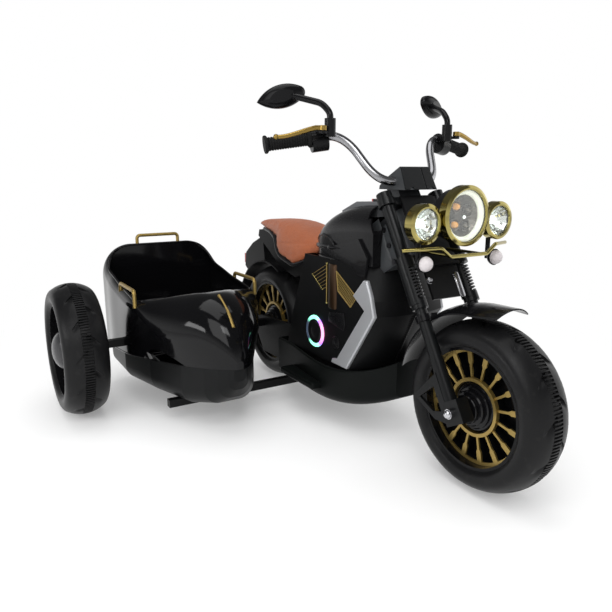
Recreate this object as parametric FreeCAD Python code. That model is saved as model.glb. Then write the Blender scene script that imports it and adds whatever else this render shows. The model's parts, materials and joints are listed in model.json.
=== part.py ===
import FreeCAD, Part
import math
import os
from FreeCAD import Vector

# Kids electric motorbike with a sidecar on the rider's right.
# Millimetres. X points forward, Y to the rider's left, Z up. Sizes are measured from the rear axle on the
# bike's middle plane, and the finished model is set on the ground, centred on its own outline.

# Wheels
wheel_radius = 175.0
tyre_width = 110.0
tyre_wall = 7.0
tyre_shoulder_drop = 14.0
tyre_shoulder_inset = 10.0
bead_inset = 10.0
rim_radius = 124.0
rim_wall = 6.0
rim_ledge = 6.0
web_half = 3.0
trim_seat = 22.0
trim_thickness = 4.0
hub_radius = 27.0
hub_half = 53.0
hub_flange_radius = 60.0
hub_ring_width = 7.0
hub_ring_height = 9.0
spoke_count = 16
spoke_root_half = 2.5
spoke_tip_half = 5.5
axle_radius = 6.0
axle_nut_height = 9.0
axle_nut_radius = 10.0
running_clearance = 0.08
seat_clearance = 0.1
body_clearance = 0.3

# Layout
wheelbase = 840.0
sidecar_track = 629.0
rake = 30.0

# Fork, in its own frame: origin on the front axle, z up along the legs, x forward
leg_half_spacing = 74.0
leg_setback = 9.0
steer_setback = 34.0
leg_radius = 13.0
slider_top_radius = 12.0
slider_foot_radius = 15.0
stanchion_radius = 9.0
stanchion_length = 150.0
collar_radius = 17.0
collar_height = 20.0
collar_top = 237.0
spring_length = 68.0
spring_turns = 9
spring_wire_radius = 1.9
spring_mean_radius = 15.0
shield_thickness = 2.0
shield_overlap = 10.0
shield_gap = 0.5
shield_turn = 55.0
sleeve_top = 481.0
cap_radius = 17.0
cap_height = 14.0
fork_travel = 20.0
stem_radius = 12.0
clamp_thickness = 16.0
clamp_lug_radius = 19.0
upper_clamp_z = 451.0
panel_half_width = 46.0
panel_thickness = 6.0
panel_drop = 8.0
dropout_half_length = 24.0
dropout_outer = 15.2

# Front fender
fender_gap = 14.0
fender_wall = 3.0
fender_half_width = 58.0
fender_rear_angle = 168.0
fender_crown = 15.0
fender_stay_half_length = 12.0
fender_stay_low = 190.0
fender_stay_high = 203.0
visor_reach = 60.0
visor_lift = 3.0
visor_half_width = 42.0
visor_bow = 5.0

# Lamps
lamp_x = -75.0
lamp_z = 373.0
lamp_radius = 60.5
lamp_depth = 78.0
fog_x = -83.0
fog_y = 100.0
fog_z = 360.0
fog_radius = 39.5
fog_depth = 54.0
bezel_width = 9.0
bezel_length = 16.0
lens_thickness = 5.0
lens_taper = 1.2
bowl_wall = 3.0
lamp_boss_radius = 20.0
lamp_arm_radius = 7.0

# Bumper bar and turn signals
bumper_radius = 4.0
bumper_low_y = 51.0
bumper_high_y = 75.0
bumper_end_y = 144.0
bumper_low_z = 296.0
bumper_high_z = 314.0
bumper_x = -64.0
bumper_end_x = -99.0
signal_y = 98.0
signal_x = -82.0
signal_z = 283.0
signal_radius = 15.0
signal_cup_wall = 2.5
signal_stalk_radius = 5.0

# Handlebar, levers, mirrors
bar_radius = 9.5
grip_radius = 14.5
grip_flange_radius = 19.0
grip_length = 100.0
grip_flange_width = 6.0
pod_length = 36.0
pod_radius = 20.0
pod_drop = 10.0
pod_arm_half = 8.0
mirror_post_radius = 12.0
mirror_post_height = 38.0
mirror_post_x = 30.0
mirror_post_y = -10.0
mirror_hole_depth = 20.0
mirror_stem_radius = 5.5
mirror_length = 110.0
mirror_height = 50.0
mirror_depth = 18.0
mirror_edge = 4.0
mirror_yaw = 21.0
mirror_tilt = 14.0
mirror_bend = (-23.0, 6.0, 32.0)
mirror_joint = (-102.0, 36.0, 54.0)
mirror_centre = (-15.0, 18.0, -2.0)
mirror_glass_thickness = 2.5
lever_height = 11.0
lever_thickness = 8.0
lever_eye_radius = 8.0
lever_pin_radius = 3.0
lever_ear_height = 6.0
lever_x = 38.0
lever_y = 13.0
lever_z = 17.0
lever_tip_x = 50.0
lever_tip_z = 14.0
lever_bow = 5.0
box_low_half_width = 46.0
box_top_half_width = 41.0
box_front_low = 35.0
box_front_top = 10.0
box_brow = -28.0
box_brow_rise = 11.0
box_rear = -53.0
box_rear_drop = 8.0
box_height = 49.0
box_drop = 16.0
box_foot_half_width = 30.0
bar_root = (wheelbase - 247, 30.0, 437.0)
bar_low = (wheelbase - 262, 82.0, 441.0)
bar_high = (wheelbase - 326, 118.0, 527.0)
bar_bend = (wheelbase - 336, 146.0, 536.0)
bar_end = (wheelbase - 385, 289.0, 515.0)
bar_bend_radius = 14.0

# Body
underside = -113.0
body_half_width = 96.0
pan_half_width = 104.0
pan_rear_x = 150.0
pan_top = -10.0
pan_nose_x = -222.0
pan_wall = 4.0
shell_wall = 4.0
shell_top = 252.0
foot_board_rear_x = 240.0
foot_board_length = 170.0
foot_board_reach = 38.0
foot_board_drop = 30.0
foot_board_thickness = 18.0
head_radius = 43.0
head_half_width = 64.0
head_reach = 92.0
head_shoulder = 24.0
head_gap = 2.0
leg_sweep = 18.0
clamp_sweep = 26.0
plug_count = 3
plug_pitch = 38.0
plug_setback = 11.0
plug_height = 3.0
plug_radius = 6.0
tank_top = 388.0
tank_rear_x = 322.0
tank_wall = 4.0
wing_thickness = 6.0
panel_top_half_width = 44.0
button_radius = 9.0
button_height = 8.0
button_travel = 2.0
rocker_half_length = 14.0
rocker_half_width = 7.0
rocker_pin_radius = 1.5
rocker_pin_drop = 5.0
guard_thickness = 9.0
ring_radius = 37.0
ring_tube = 5.0
ring_x = 352.0
ring_z = 55.0
mesh_thickness = 2.0
seat_top = 318.0
seat_half_width = 92.0
seat_rear_x = -112.0
seat_thickness = 22.0
seat_base_half_width = 40.0
tail_half_width = 30.0
tail_wall = 4.0
swingarm_thickness = 8.0
swingarm_height = 44.0
swingarm_inner = 62.0
swingarm_rise = 10.0
swingarm_front_x = 205.0
swingarm_skirt_drop = 92.0
swingarm_skirt_rear = 52.0
socket_x = 285.0
socket_z = 30.0
socket_radius = 14.0
socket_barrel = 10.0
socket_depth = 24.0
socket_bore = 6.0
socket_flange = 3.0

# Flank outlines in X and Z, counted back from the front axle
guard_outline = [(-274, 222), (-314, 180), (-270, 152), (-378, 10), (-398, 6), (-402, -5), (-336, -5),
                 (-232, 144), (-246, 190), (-262, 222)]
mesh_outline = [(-392, 226), (-308, 176), (-332, 148), (-384, 178)]
wing_outline = [(-456, 272), (-300, 312), (-266, 272), (-272, 228), (-299, 230), (-330, 248)]

# Tail and saddle base outlines in X and Z, from the rear axle
tail_outline = [(-72, 262), (-145, 232), (-197, 196), (-205, 150), (-150, 116), (-60, 180)]
tail_end_x = min(x for x, z in tail_outline)
tail_lamp_low = 158.0
tail_lamp_high = 190.0
tail_lamp_half_depth = 12.0
tail_lamp_inset = 4.0
saddle_base_foot = [(262, 192), (150, 162), (60, 182)]

# Drive
gear_module = 1.25
pressure_angle = math.radians(20.0)
output_teeth = 56
idler_small_teeth = 14
idler_big_teeth = 48
pinion_teeth = 12
gear_width = 10.0
gear_gap = 3.0
gear_backlash = 0.25
gear_angle = 35.0
gear_shaft_radius = 4.0
sleeve_radius = 14.0
case_wall = 3.0
motor_radius = 18.0
motor_length = 48.0
motor_shaft_radius = 1.6
battery_rear_x = 196.0
battery_lift = 0.8
battery_length = 150.0
battery_width = 96.0
battery_height = 90.0

# Sidecar
tub_offset = 330.0
tub_half_width = 178.0
tub_rear_x = -215.0
tub_nose_x = 396.0
tub_wall = 5.0
lip_x = 138.0
rim_front_z = 136.0
rim_rear_z = 176.0
crest_x = 262.0
crest_z = 162.0
flange_rear_z = -50.0
flange_front_z = 2.0
rim_width = 16.0
bow_start_x = -61.0
bow_fullness = 1.5
crest_fullness = 1.65
side_flare = 30.0
nose_flare = 18.0
cockpit_corner = 40.0
back_top = 243.0
back_thickness = 25.0
back_shoulder = 80.0
rail_radius = 5.0
rail_height = 27.0
back_rail_half = 64.0
side_rail_rear_x = -8.0
side_rail_front_x = 128.0
trim_radius = 4.0
bench_height = 128.0
bench_length = 226.0
bench_gap = 4.0
frame_tube = 20.0
front_tube_reach = 120.0
front_tube_inner = 40.0
front_tube_x = 205.0
axle_seat_depth = 30.0
axle_spacer = 12.0
sidecar_hub_cap_radius = 51.0
hub_cap_room = 4.0
hub_cap_wall = 3.0
screw_radius = 4.0

steer_x = -leg_setback - steer_setback
sleeve_low = collar_top + spring_length
tub_y = -tub_offset


# Basic shapes

def box(x0, x1, y0, y1, z0, z1):
    return Part.makeBox(x1 - x0, y1 - y0, z1 - z0, Vector(x0, y0, z0))


def rod(start, end, radius):
    base = Vector(*start)
    along = Vector(*end) - base
    return Part.makeCylinder(radius, along.Length, base, along)


def mirrored(shape):
    return shape.mirror(Vector(0, 0, 0), Vector(0, 1, 0))


def moved(shape, x, y, z):
    copy = shape.copy()
    copy.translate(Vector(x, y, z))
    return copy


def pair(shape):
    return Part.Compound([shape, mirrored(shape)])


def closed_face(points):
    corners = [Vector(*point) for point in points]
    return Part.Face(Part.makePolygon(corners + corners[:1]))


def turned_about_y(profile):
    # a profile of (radius, y) points turned into a solid round the Y axis
    face = closed_face([(radius, y, 0) for radius, y in profile])
    return face.revolve(Vector(0, 0, 0), Vector(0, 1, 0), 360)


def turned_about_x(profile, y, z):
    # a profile of (x, radius) points turned into a solid round a line along X
    face = closed_face([(x, radius, 0) for x, radius in profile])
    solid = face.revolve(Vector(0, 0, 0), Vector(1, 0, 0), 360)
    return moved(solid, 0, y, z)


def path_wire(points, bend):
    corners = [Vector(*point) for point in points]
    edges = []
    start = corners[0]
    for before, corner, after in zip(corners, corners[1:], corners[2:]):
        into = (corner - before).normalize()
        out = (after - corner).normalize()
        turn = into.getAngle(out)
        reach = bend * math.tan(turn / 2)
        first = corner - into * reach
        last = corner + out * reach
        inward = (out - into).normalize()
        middle = corner + inward * (bend / math.cos(turn / 2) - bend)
        edges.append(Part.LineSegment(start, first).toShape())
        edges.append(Part.Arc(first, middle, last).toShape())
        start = last
    edges.append(Part.LineSegment(start, corners[-1]).toShape())
    return Part.Wire(edges)


def swept(wire, radius):
    start = wire.Edges[0].valueAt(wire.Edges[0].FirstParameter)
    along = wire.Edges[0].tangentAt(wire.Edges[0].FirstParameter)
    ring = Part.Wire([Part.Circle(start, along, radius).toShape()])
    return wire.makePipeShell([ring], True, False)


def bent_rod(points, radius, bend):
    return swept(path_wire(points, bend), radius)


def rounded_section(x, y, half_width, low, high, low_corner, high_corner, flare=0.0):
    # a closed outline across X: a rectangle with rounded corners, square at the foot where its corner is
    # zero, and drawn in there by the flare
    left, right = y - half_width, y + half_width
    low_left, low_right = left + flare, right - flare
    diagonal_low = low_corner * (1 - math.sqrt(0.5))
    diagonal_high = high_corner * (1 - math.sqrt(0.5))

    def at(across, height):
        return Vector(x, across, height)

    foot_right = Part.Arc(at(low_right - low_corner, low), at(low_right - diagonal_low, low + diagonal_low),
                          at(low_right, low + low_corner)) if low_corner else None
    foot_left = Part.Arc(at(low_left, low + low_corner), at(low_left + diagonal_low, low + diagonal_low),
                         at(low_left + low_corner, low)) if low_corner else None
    edges = [
        Part.LineSegment(at(low_left + low_corner, low), at(low_right - low_corner, low)),
        foot_right,
        Part.LineSegment(at(low_right, low + low_corner), at(right, high - high_corner)),
        Part.Arc(at(right, high - high_corner), at(right - diagonal_high, high - diagonal_high),
                 at(right - high_corner, high)),
        Part.LineSegment(at(right - high_corner, high), at(left + high_corner, high)),
        Part.Arc(at(left + high_corner, high), at(left + diagonal_high, high - diagonal_high),
                 at(left, high - high_corner)),
        Part.LineSegment(at(left, high - high_corner), at(low_left, low + low_corner)),
        foot_left,
    ]
    return Part.Wire([edge.toShape() for edge in edges if edge])


def loft(sections, y=0.0, ruled=False):
    # sections are (x, half width, low, high, low corner, high corner and any flare)
    wires = [rounded_section(section[0], y, *section[1:]) for section in sections]
    return Part.makeLoft(wires, True, ruled)


def inset(sections, wall, open_low=0.0, open_high=0.0):
    # the same sections drawn in by a wall, left open below or above where asked
    inner = []
    for place, (x, half, low, high, low_corner, high_corner, *flare) in enumerate(sections):
        if place == 0:
            x = x + wall
        if place == len(sections) - 1:
            x = x - wall
        low_edge = low - open_low if open_low else low + wall
        high_edge = high + open_high if open_high else high - wall
        foot = max(low_corner - wall, 1.0) if low_corner else 0.0
        inner.append((x, half - wall, low_edge, high_edge, foot, max(high_corner - wall, 1.0), *flare))
    return inner


def side_plate(points, inner, outer):
    # a plate in the X-Z plane between two distances from the middle plane
    face = closed_face([(x, inner, z) for x, z in points])
    return face.extrude(Vector(0, outer - inner, 0))


def from_front_axle(outline):
    return [(wheelbase + x, z) for x, z in outline]


# The fork's frame

def in_fork(shape):
    placed = shape.copy()
    placed.rotate(Vector(0, 0, 0), Vector(0, 1, 0), -rake)
    placed.translate(Vector(wheelbase, 0, 0))
    return placed


# Wheels

def tyre():
    half = tyre_width / 2
    shoulder = wheel_radius - tyre_shoulder_drop
    bulge = (rim_radius + shoulder) / 2

    def at(radius, y):
        return Vector(radius, y, 0)

    bead = half - bead_inset
    edge = half - tyre_shoulder_inset
    inner_edge = edge - tyre_wall
    outside = [Part.Arc(at(rim_radius, -bead), at(bulge, -half), at(shoulder, -edge)),
               Part.Arc(at(shoulder, -edge), at(wheel_radius, 0), at(shoulder, edge)),
               Part.Arc(at(shoulder, edge), at(bulge, half), at(rim_radius, bead))]
    low_bead = bead - tyre_wall
    inside = [Part.LineSegment(at(rim_radius, bead), at(rim_radius, low_bead)),
              Part.Arc(at(rim_radius, low_bead), at(bulge, half - tyre_wall),
                       at(shoulder - tyre_wall, inner_edge)),
              Part.Arc(at(shoulder - tyre_wall, inner_edge), at(wheel_radius - tyre_wall, 0),
                       at(shoulder - tyre_wall, -inner_edge)),
              Part.Arc(at(shoulder - tyre_wall, -inner_edge), at(bulge, tyre_wall - half),
                       at(rim_radius, -low_bead)),
              Part.LineSegment(at(rim_radius, -low_bead), at(rim_radius, -bead))]
    outline = Part.Wire([edge.toShape() for edge in outside + inside])
    return Part.Face(outline).revolve(Vector(0, 0, 0), Vector(0, 1, 0), 360)


def around_axle(shape):
    copies = []
    step = 360.0 / spoke_count
    for number in range(spoke_count):
        copy = shape.copy()
        copy.rotate(Vector(0, 0, 0), Vector(0, 1, 0), step * (number + 0.5))
        copies.append(copy)
    return copies


def rim():
    bore = axle_radius + running_clearance
    outside = rim_radius - seat_clearance
    barrel = outside - rim_wall
    ledge = barrel - rim_ledge
    bead_edge = tyre_width / 2 - bead_inset
    side = [(bore, hub_half), (hub_radius, hub_half), (hub_radius, trim_seat), (hub_flange_radius, trim_seat),
            (hub_flange_radius, web_half), (ledge, web_half), (ledge, trim_seat), (barrel, trim_seat),
            (barrel, bead_edge), (outside, bead_edge)]
    disc = turned_about_y(side + [(radius, -y) for radius, y in reversed(side)])
    rib = box(hub_flange_radius - 1, ledge + 1, -trim_seat, trim_seat, -spoke_root_half, spoke_root_half)
    return disc.multiFuse(around_axle(rib)).removeSplitter()


def spoke_trim():
    outside = rim_radius - seat_clearance - rim_wall - seat_clearance
    ring_inside = outside - rim_ledge
    hub_inside = hub_flange_radius - hub_ring_width
    top = trim_seat + trim_thickness
    outer_ring = turned_about_y([(ring_inside, trim_seat), (outside, trim_seat), (outside, top),
                                 (ring_inside, top)])
    hub_top = trim_seat + hub_ring_height
    hub_ring = turned_about_y([(hub_inside, trim_seat), (hub_flange_radius, trim_seat),
                               (hub_flange_radius, hub_top), (hub_inside, hub_top)])
    start, end = hub_flange_radius - 1, ring_inside + 1
    middle = (start + end) / 2
    half = [(start, spoke_root_half), (middle, spoke_root_half), (middle + spoke_tip_half, spoke_tip_half),
            (end, spoke_tip_half)]
    outline = half + [(x, -z) for x, z in reversed(half)]
    blade = side_plate(outline, trim_seat, top)
    side = outer_ring.multiFuse([hub_ring] + around_axle(blade)).removeSplitter()
    return pair(side)


def hub_cap():
    hub = hub_radius + seat_clearance
    inside = hub_half + hub_cap_room
    edge = sidecar_hub_cap_radius
    profile = [(0.0, inside), (hub, inside), (hub, trim_seat), (edge, trim_seat), (edge - 2, trim_seat + 14),
               (edge - 14, inside - 1), (0.0, inside + hub_cap_wall)]
    return mirrored(turned_about_y(profile))


def axle(half_length, nut_inner):
    shaft = rod((0, -half_length, 0), (0, half_length, 0), axle_radius)
    parts = []
    for side in (-1, 1):
        nut = rod((0, side * nut_inner, 0), (0, side * (nut_inner + axle_nut_height), 0), axle_nut_radius)
        dome = Part.makeSphere(axle_nut_radius - 1.5, Vector(0, side * (nut_inner + axle_nut_height), 0))
        parts += [nut, dome]
    return shaft.multiFuse(parts).removeSplitter()


# Fork and steering, in the fork's frame

def leg_rod(low, high, radius, side=1):
    y = side * leg_half_spacing
    return rod((-leg_setback, y, low), (-leg_setback, y, high), radius)


def fork_slider():
    base = Vector(-leg_setback, leg_half_spacing, 0)
    collar_low = collar_top - collar_height
    lower = Part.makeCone(slider_foot_radius, slider_top_radius, collar_low, base)
    collar = leg_rod(collar_low, collar_top, collar_radius)
    stanchion = leg_rod(collar_top, collar_top + stanchion_length, stanchion_radius)
    inner = leg_half_spacing - dropout_outer
    outer = leg_half_spacing + dropout_outer
    plate = box(-leg_setback - slider_foot_radius, dropout_half_length, inner, outer,
                -dropout_half_length, dropout_half_length)
    arm_points = [(-leg_setback, 84), (-92, 57), (-52, -2), (-leg_setback, -dropout_half_length)]
    arm = side_plate(arm_points, outer - 6, outer)
    hole_points = [(-26, 60), (-76, 50), (-50, 14), (-26, 8)]
    hole = side_plate(hole_points, inner, outer + 1)
    solid = lower.multiFuse([collar, stanchion, plate, arm.cut(hole)])
    bore = rod((0, inner - 1, 0), (0, outer + 1, 0), axle_radius + seat_clearance)
    return solid.cut(bore).removeSplitter()


def fork_sleeve(side):
    y = side * leg_half_spacing
    top = leg_rod(sleeve_top - cap_height, sleeve_top, cap_radius, side)
    shield_inner = collar_radius + shield_gap
    shield_outer = shield_inner + shield_thickness
    body = leg_rod(sleeve_low, sleeve_top, leg_radius, side)
    flange = leg_rod(sleeve_low, sleeve_low + shield_overlap, shield_outer, side)
    shell = leg_rod(collar_top - shield_overlap, sleeve_low + shield_overlap, shield_outer, side)
    shell = shell.cut(leg_rod(0, sleeve_low, shield_inner, side))
    keep = box(-leg_setback - 2 * shield_outer, -leg_setback, y - shield_outer, y + shield_outer, 0, sleeve_top)
    keep.rotate(Vector(-leg_setback, y, 0), Vector(0, 0, 1), shield_turn)
    solid = body.multiFuse([top, flange, shell.common(keep)])
    bore_top = collar_top + stanchion_length + fork_travel + 5
    return solid.cut(leg_rod(0, bore_top, stanchion_radius + running_clearance, side)).removeSplitter()


def biarc_edges(start, start_along, end, end_along):
    chord = end - start
    both = start_along + end_along
    spread = 2 * (1 - start_along.dot(end_along))
    run = chord.dot(both)
    reach = (math.sqrt(run * run + spread * chord.dot(chord)) - run) / spread
    joint = (start + end + (start_along - end_along) * reach) * 0.5

    def arc(first, last, along):
        span = last - first
        unit = span * (1 / span.Length)
        angle = along.getAngle(unit)
        side = (along - unit * math.cos(angle)).normalize()
        middle = (first + last) * 0.5 + side * (span.Length / 2 * math.tan(angle / 2))
        return Part.Arc(first, middle, last).toShape()

    back = arc(end, joint, end_along * -1)
    return [arc(start, joint, start_along), back]


def coil(radius, length, turns, wire_radius, centre):
    # a helix of quarter-turn biarcs with a straight end of one wire diameter at each end
    climb = length / (2 * math.pi * turns)
    slant = math.hypot(radius, climb)

    def at(angle):
        return centre + Vector(radius * math.cos(angle), radius * math.sin(angle), climb * angle)

    def along(angle):
        return Vector(-radius * math.sin(angle), radius * math.cos(angle), climb) * (1 / slant)

    quarter = math.pi / 2
    edges = []
    last_angle = 2 * math.pi * turns
    tail = 2 * wire_radius
    edges.append(Part.LineSegment(at(0) - along(0) * tail, at(0)).toShape())
    for number in range(4 * turns):
        angle = quarter * number
        edges += biarc_edges(at(angle), along(angle), at(angle + quarter), along(angle + quarter))
    edges.append(Part.LineSegment(at(last_angle), at(last_angle) + along(last_angle) * tail).toShape())
    wire = Part.Wire(Part.__sortEdges__(edges))
    points = [at(math.pi / 36 * number) for number in range(72 * turns)]
    apart = min((a - b).Length for place, a in enumerate(points) for b in points[place + 36:])
    return swept(wire, wire_radius), apart - 2 * wire_radius


def fork_springs():
    room = 2 * (spring_wire_radius + body_clearance)
    springs = []
    for side in (1, -1):
        centre = Vector(-leg_setback, side * leg_half_spacing, collar_top + room / 2)
        solid, gap = coil(spring_mean_radius, spring_length - room, spring_turns, spring_wire_radius, centre)
        springs.append(in_fork(solid))
    print("fork spring gap between turns", round(gap, 2))
    return Part.Compound(springs)


def clamp_plate(low, lug_radius):
    # one triple clamp: lugs round the stem and both legs, joined by straight webs
    high = low + clamp_thickness
    stem_lug = rod((steer_x, 0, low), (steer_x, 0, high), lug_radius)
    lugs = [leg_rod(low, high, lug_radius, side) for side in (-1, 1)]
    corners = [(steer_x, lug_radius), (-leg_setback + lug_radius * 0.6, leg_half_spacing),
               (-leg_setback + lug_radius * 0.6, -leg_half_spacing), (steer_x, -lug_radius)]
    web = closed_face([(x, y, low) for x, y in corners]).extrude(Vector(0, 0, clamp_thickness))
    solid = stem_lug.multiFuse(lugs + [web])
    for side in (-1, 1):
        solid = solid.cut(leg_rod(low - 1, high + 1, leg_radius + seat_clearance, side))
    return solid


def steering_stem():
    lower_z = sleeve_low + shield_overlap
    stem = rod((steer_x, 0, lower_z), (steer_x, 0, upper_clamp_z + clamp_thickness), stem_radius)
    lower = clamp_plate(lower_z, clamp_lug_radius)
    upper = clamp_plate(upper_clamp_z, clamp_lug_radius)
    return in_fork(stem.multiFuse([lower, upper]).removeSplitter())


def fork_panel():
    front = -leg_setback + clamp_lug_radius * 0.6
    low = collar_top - panel_drop
    plate = box(front, front + panel_thickness, -panel_half_width, panel_half_width, low,
                upper_clamp_z + clamp_thickness)
    ledge = box(front, front + 3 * panel_thickness, -panel_half_width, panel_half_width,
                sleeve_low - panel_thickness, sleeve_low)
    return in_fork(plate.fuse(ledge).removeSplitter())


def crowned_strip(half, side, middle):
    # the outline across a fender: two arcs a wall apart, given by their heights at the sides and the middle
    low_side, low_middle = side - fender_wall, middle - fender_wall

    def at(y, height):
        return Vector(0, y, height)

    edges = [Part.Arc(at(-half, side), at(0, middle), at(half, side)),
             Part.LineSegment(at(half, side), at(half, low_side)),
             Part.Arc(at(half, low_side), at(0, low_middle), at(-half, low_side)),
             Part.LineSegment(at(-half, low_side), at(-half, side))]
    return Part.Wire([edge.toShape() for edge in edges])


def front_fender():
    # a crowned arch over the tyre that runs out forward as a nearly flat visor, carried by both sliders
    side = wheel_radius + fender_gap + fender_wall
    middle = side + fender_crown
    root = crowned_strip(fender_half_width, side, middle)
    arch = Part.Face(root).revolve(Vector(0, 0, 0), Vector(0, 1, 0), 90.0 - fender_rear_angle)
    tip = crowned_strip(visor_half_width, side + visor_lift, middle + visor_lift)
    tip.translate(Vector(visor_reach, 0, 0))
    visor = Part.makeLoft([root, tip], True, True)
    bow = (visor_half_width ** 2 + visor_bow ** 2) / (2 * visor_bow)
    visor = visor.common(Part.makeCylinder(bow, 2 * middle, Vector(visor_reach - bow, 0, 0)))
    stays = []
    rooms = []
    half = fender_stay_half_length
    grown = seat_clearance
    for hand in (-1, 1):
        near, far = hand * (fender_half_width - half), hand * leg_half_spacing
        stay = box(-leg_setback - half, -leg_setback + half, min(near, far), max(near, far),
                   fender_stay_low, fender_stay_high)
        ring = leg_rod(fender_stay_low, fender_stay_high, collar_radius, hand)
        stays.append(stay.fuse(ring))
        foot = Vector(-leg_setback, hand * leg_half_spacing, 0)
        rooms.append(Part.makeCone(slider_foot_radius + grown, slider_top_radius + grown,
                                   collar_top - collar_height, foot))
    stays = [stay.cut(Part.Compound(rooms)) for stay in stays]
    placed = [in_fork(stay) for stay in stays]
    return moved(arch.fuse(visor), wheelbase, 0, 0).multiFuse(placed).removeSplitter()


# Lamps

def lamp_bowl(x, y, z, radius, depth):
    edge = radius - bezel_width / 2
    outer = [(x, edge), (x - depth * 0.55, edge * 0.92), (x - depth * 0.9, edge * 0.5), (x - depth, edge * 0.3)]
    profile = [(x - depth, 0)] + outer[::-1]
    inner = [(px + bowl_wall, radius_at - bowl_wall) for px, radius_at in outer[::-1]]
    inner[-1] = (x, edge - bowl_wall)
    return turned_about_x(profile + inner[::-1] + [(inner[0][0], 0)], y, z)


def lamp_bezel(x, y, z, radius):
    inside = radius - bezel_width
    hold = radius - bezel_width / 2 + seat_clearance
    profile = [(x, inside), (x + 4, inside), (x + 5, inside + 3), (x + 2, radius), (x - bezel_length, radius),
               (x - bezel_length, hold), (x, hold)]
    return turned_about_x(profile, y, z)


def lamp_lens(x, y, z, radius):
    edge = radius - bezel_width / 2 - bowl_wall - seat_clearance
    profile = [(x - lens_thickness, 0), (x - lens_thickness, edge - lens_taper), (x, edge),
               (x, radius - bezel_width - seat_clearance), (x + 2, edge * 0.6), (x + 3, 0)]
    return turned_about_x(profile, y, z)


def lamp_places():
    return [(wheelbase + lamp_x, 0, lamp_z, lamp_radius, lamp_depth),
            (wheelbase + fog_x, fog_y, fog_z, fog_radius, fog_depth),
            (wheelbase + fog_x, -fog_y, fog_z, fog_radius, fog_depth)]


def behind_panel():
    front = -leg_setback + clamp_lug_radius * 0.6 + panel_thickness
    return in_fork(box(front - 400, front, -200, 200, 0, 700))


def lamp_bowls():
    places = lamp_places()
    x0, y0, z0, r0, d0 = places[0]
    boss = rod((x0 - 2 * d0, y0, z0), (x0 - d0 * 0.85, y0, z0), lamp_boss_radius)
    main = lamp_bowl(*places[0]).fuse(boss.cut(behind_panel())).removeSplitter()
    filled = turned_about_x([(x0 - d0, 0), (x0 - d0, r0 * 0.35), (x0 - d0 * 0.9, r0 * 0.5),
                             (x0 - d0 * 0.5, r0), (x0, r0), (x0, 0)], y0, z0)
    bowls = [main]
    for x, y, z, radius, depth in places[1:]:
        side = math.copysign(1, y)
        arm = rod((x - depth * 0.8, 0, z), (x - depth * 0.8, y - side * radius * 0.5, z), lamp_arm_radius)
        bowls.append(lamp_bowl(x, y, z, radius, depth).fuse(arm.cut(main).cut(filled)).removeSplitter())
    return Part.Compound(bowls)


def bumper_bar():
    x, end_x = wheelbase + bumper_x, wheelbase + bumper_end_x
    half = [(end_x, bumper_end_y, bumper_high_z - 4), (x, bumper_high_y, bumper_high_z),
            (x, bumper_low_y, bumper_low_z)]
    points = half + [(px, -py, pz) for px, py, pz in reversed(half)]
    bar = bent_rod(points, bumper_radius, 8.0)
    stays = [rod((x - 200, side * 38, bumper_low_z), (x, side * 38, bumper_low_z), bumper_radius * 0.8)
             for side in (-1, 1)]
    return bar.multiFuse([stay.cut(behind_panel()) for stay in stays]).removeSplitter()


def signal_lens():
    return Part.makeSphere(signal_radius, Vector(wheelbase + signal_x, signal_y, signal_z))


def signal_stalk(bowl):
    x = wheelbase + signal_x
    ball_room = Part.makeSphere(signal_radius + seat_clearance, Vector(x, signal_y, signal_z))
    cup = Part.makeSphere(signal_radius + signal_cup_wall, Vector(x, signal_y, signal_z))
    cup = cup.common(box(x - 40, x - 2, 0, 200, signal_z - 40, signal_z + 40))
    back = wheelbase + fog_x - bezel_length - signal_stalk_radius - 1
    neck = rod((x - signal_radius, signal_y, signal_z), (back, signal_y, signal_z), signal_stalk_radius)
    stalk = rod((back, signal_y, signal_z - signal_stalk_radius), (back, signal_y, fog_z - fog_radius * 0.6),
                signal_stalk_radius)
    x0, y0, z0, radius, depth = lamp_places()[1]
    filled = turned_about_x([(x0 - depth, 0), (x0 - depth, radius * 0.3), (x0 - depth * 0.5, radius * 0.8),
                             (x0, radius * 0.8), (x0, 0)], y0, z0)
    return cup.multiFuse([neck, stalk.cut(filled)]).cut(ball_room).cut(bowl).removeSplitter()


# Handlebar

def along_grip(distance):
    # a point on the right-angle run of the left grip, measured inwards from the bar's end
    end = Vector(*bar_end)
    inward = (Vector(*bar_bend) - end).normalize()
    return end + inward * distance


def handlebar():
    half = [bar_end, bar_bend, bar_high, bar_low, bar_root]
    points = half + [(x, -y, z) for x, y, z in reversed(half)]
    return bent_rod(points, bar_radius, bar_bend_radius)


def grip():
    start, finish = along_grip(-2), along_grip(grip_length)
    body = rod(start, finish, grip_radius)
    outer = rod(start, along_grip(grip_flange_width - 2), grip_flange_radius)
    inner = rod(along_grip(grip_length - grip_flange_width), finish, grip_flange_radius)
    bore = rod(along_grip(0), along_grip(grip_length + 1), bar_radius + running_clearance)
    return body.multiFuse([outer, inner]).cut(bore).removeSplitter()


def pod_middle():
    return along_grip(grip_length + body_clearance + pod_length / 2)


def mirror_axis():
    return pod_middle() + Vector(mirror_post_x, mirror_post_y, 0)


def lever_pivot():
    return pod_middle() + Vector(lever_x, lever_y, lever_z)


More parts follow.
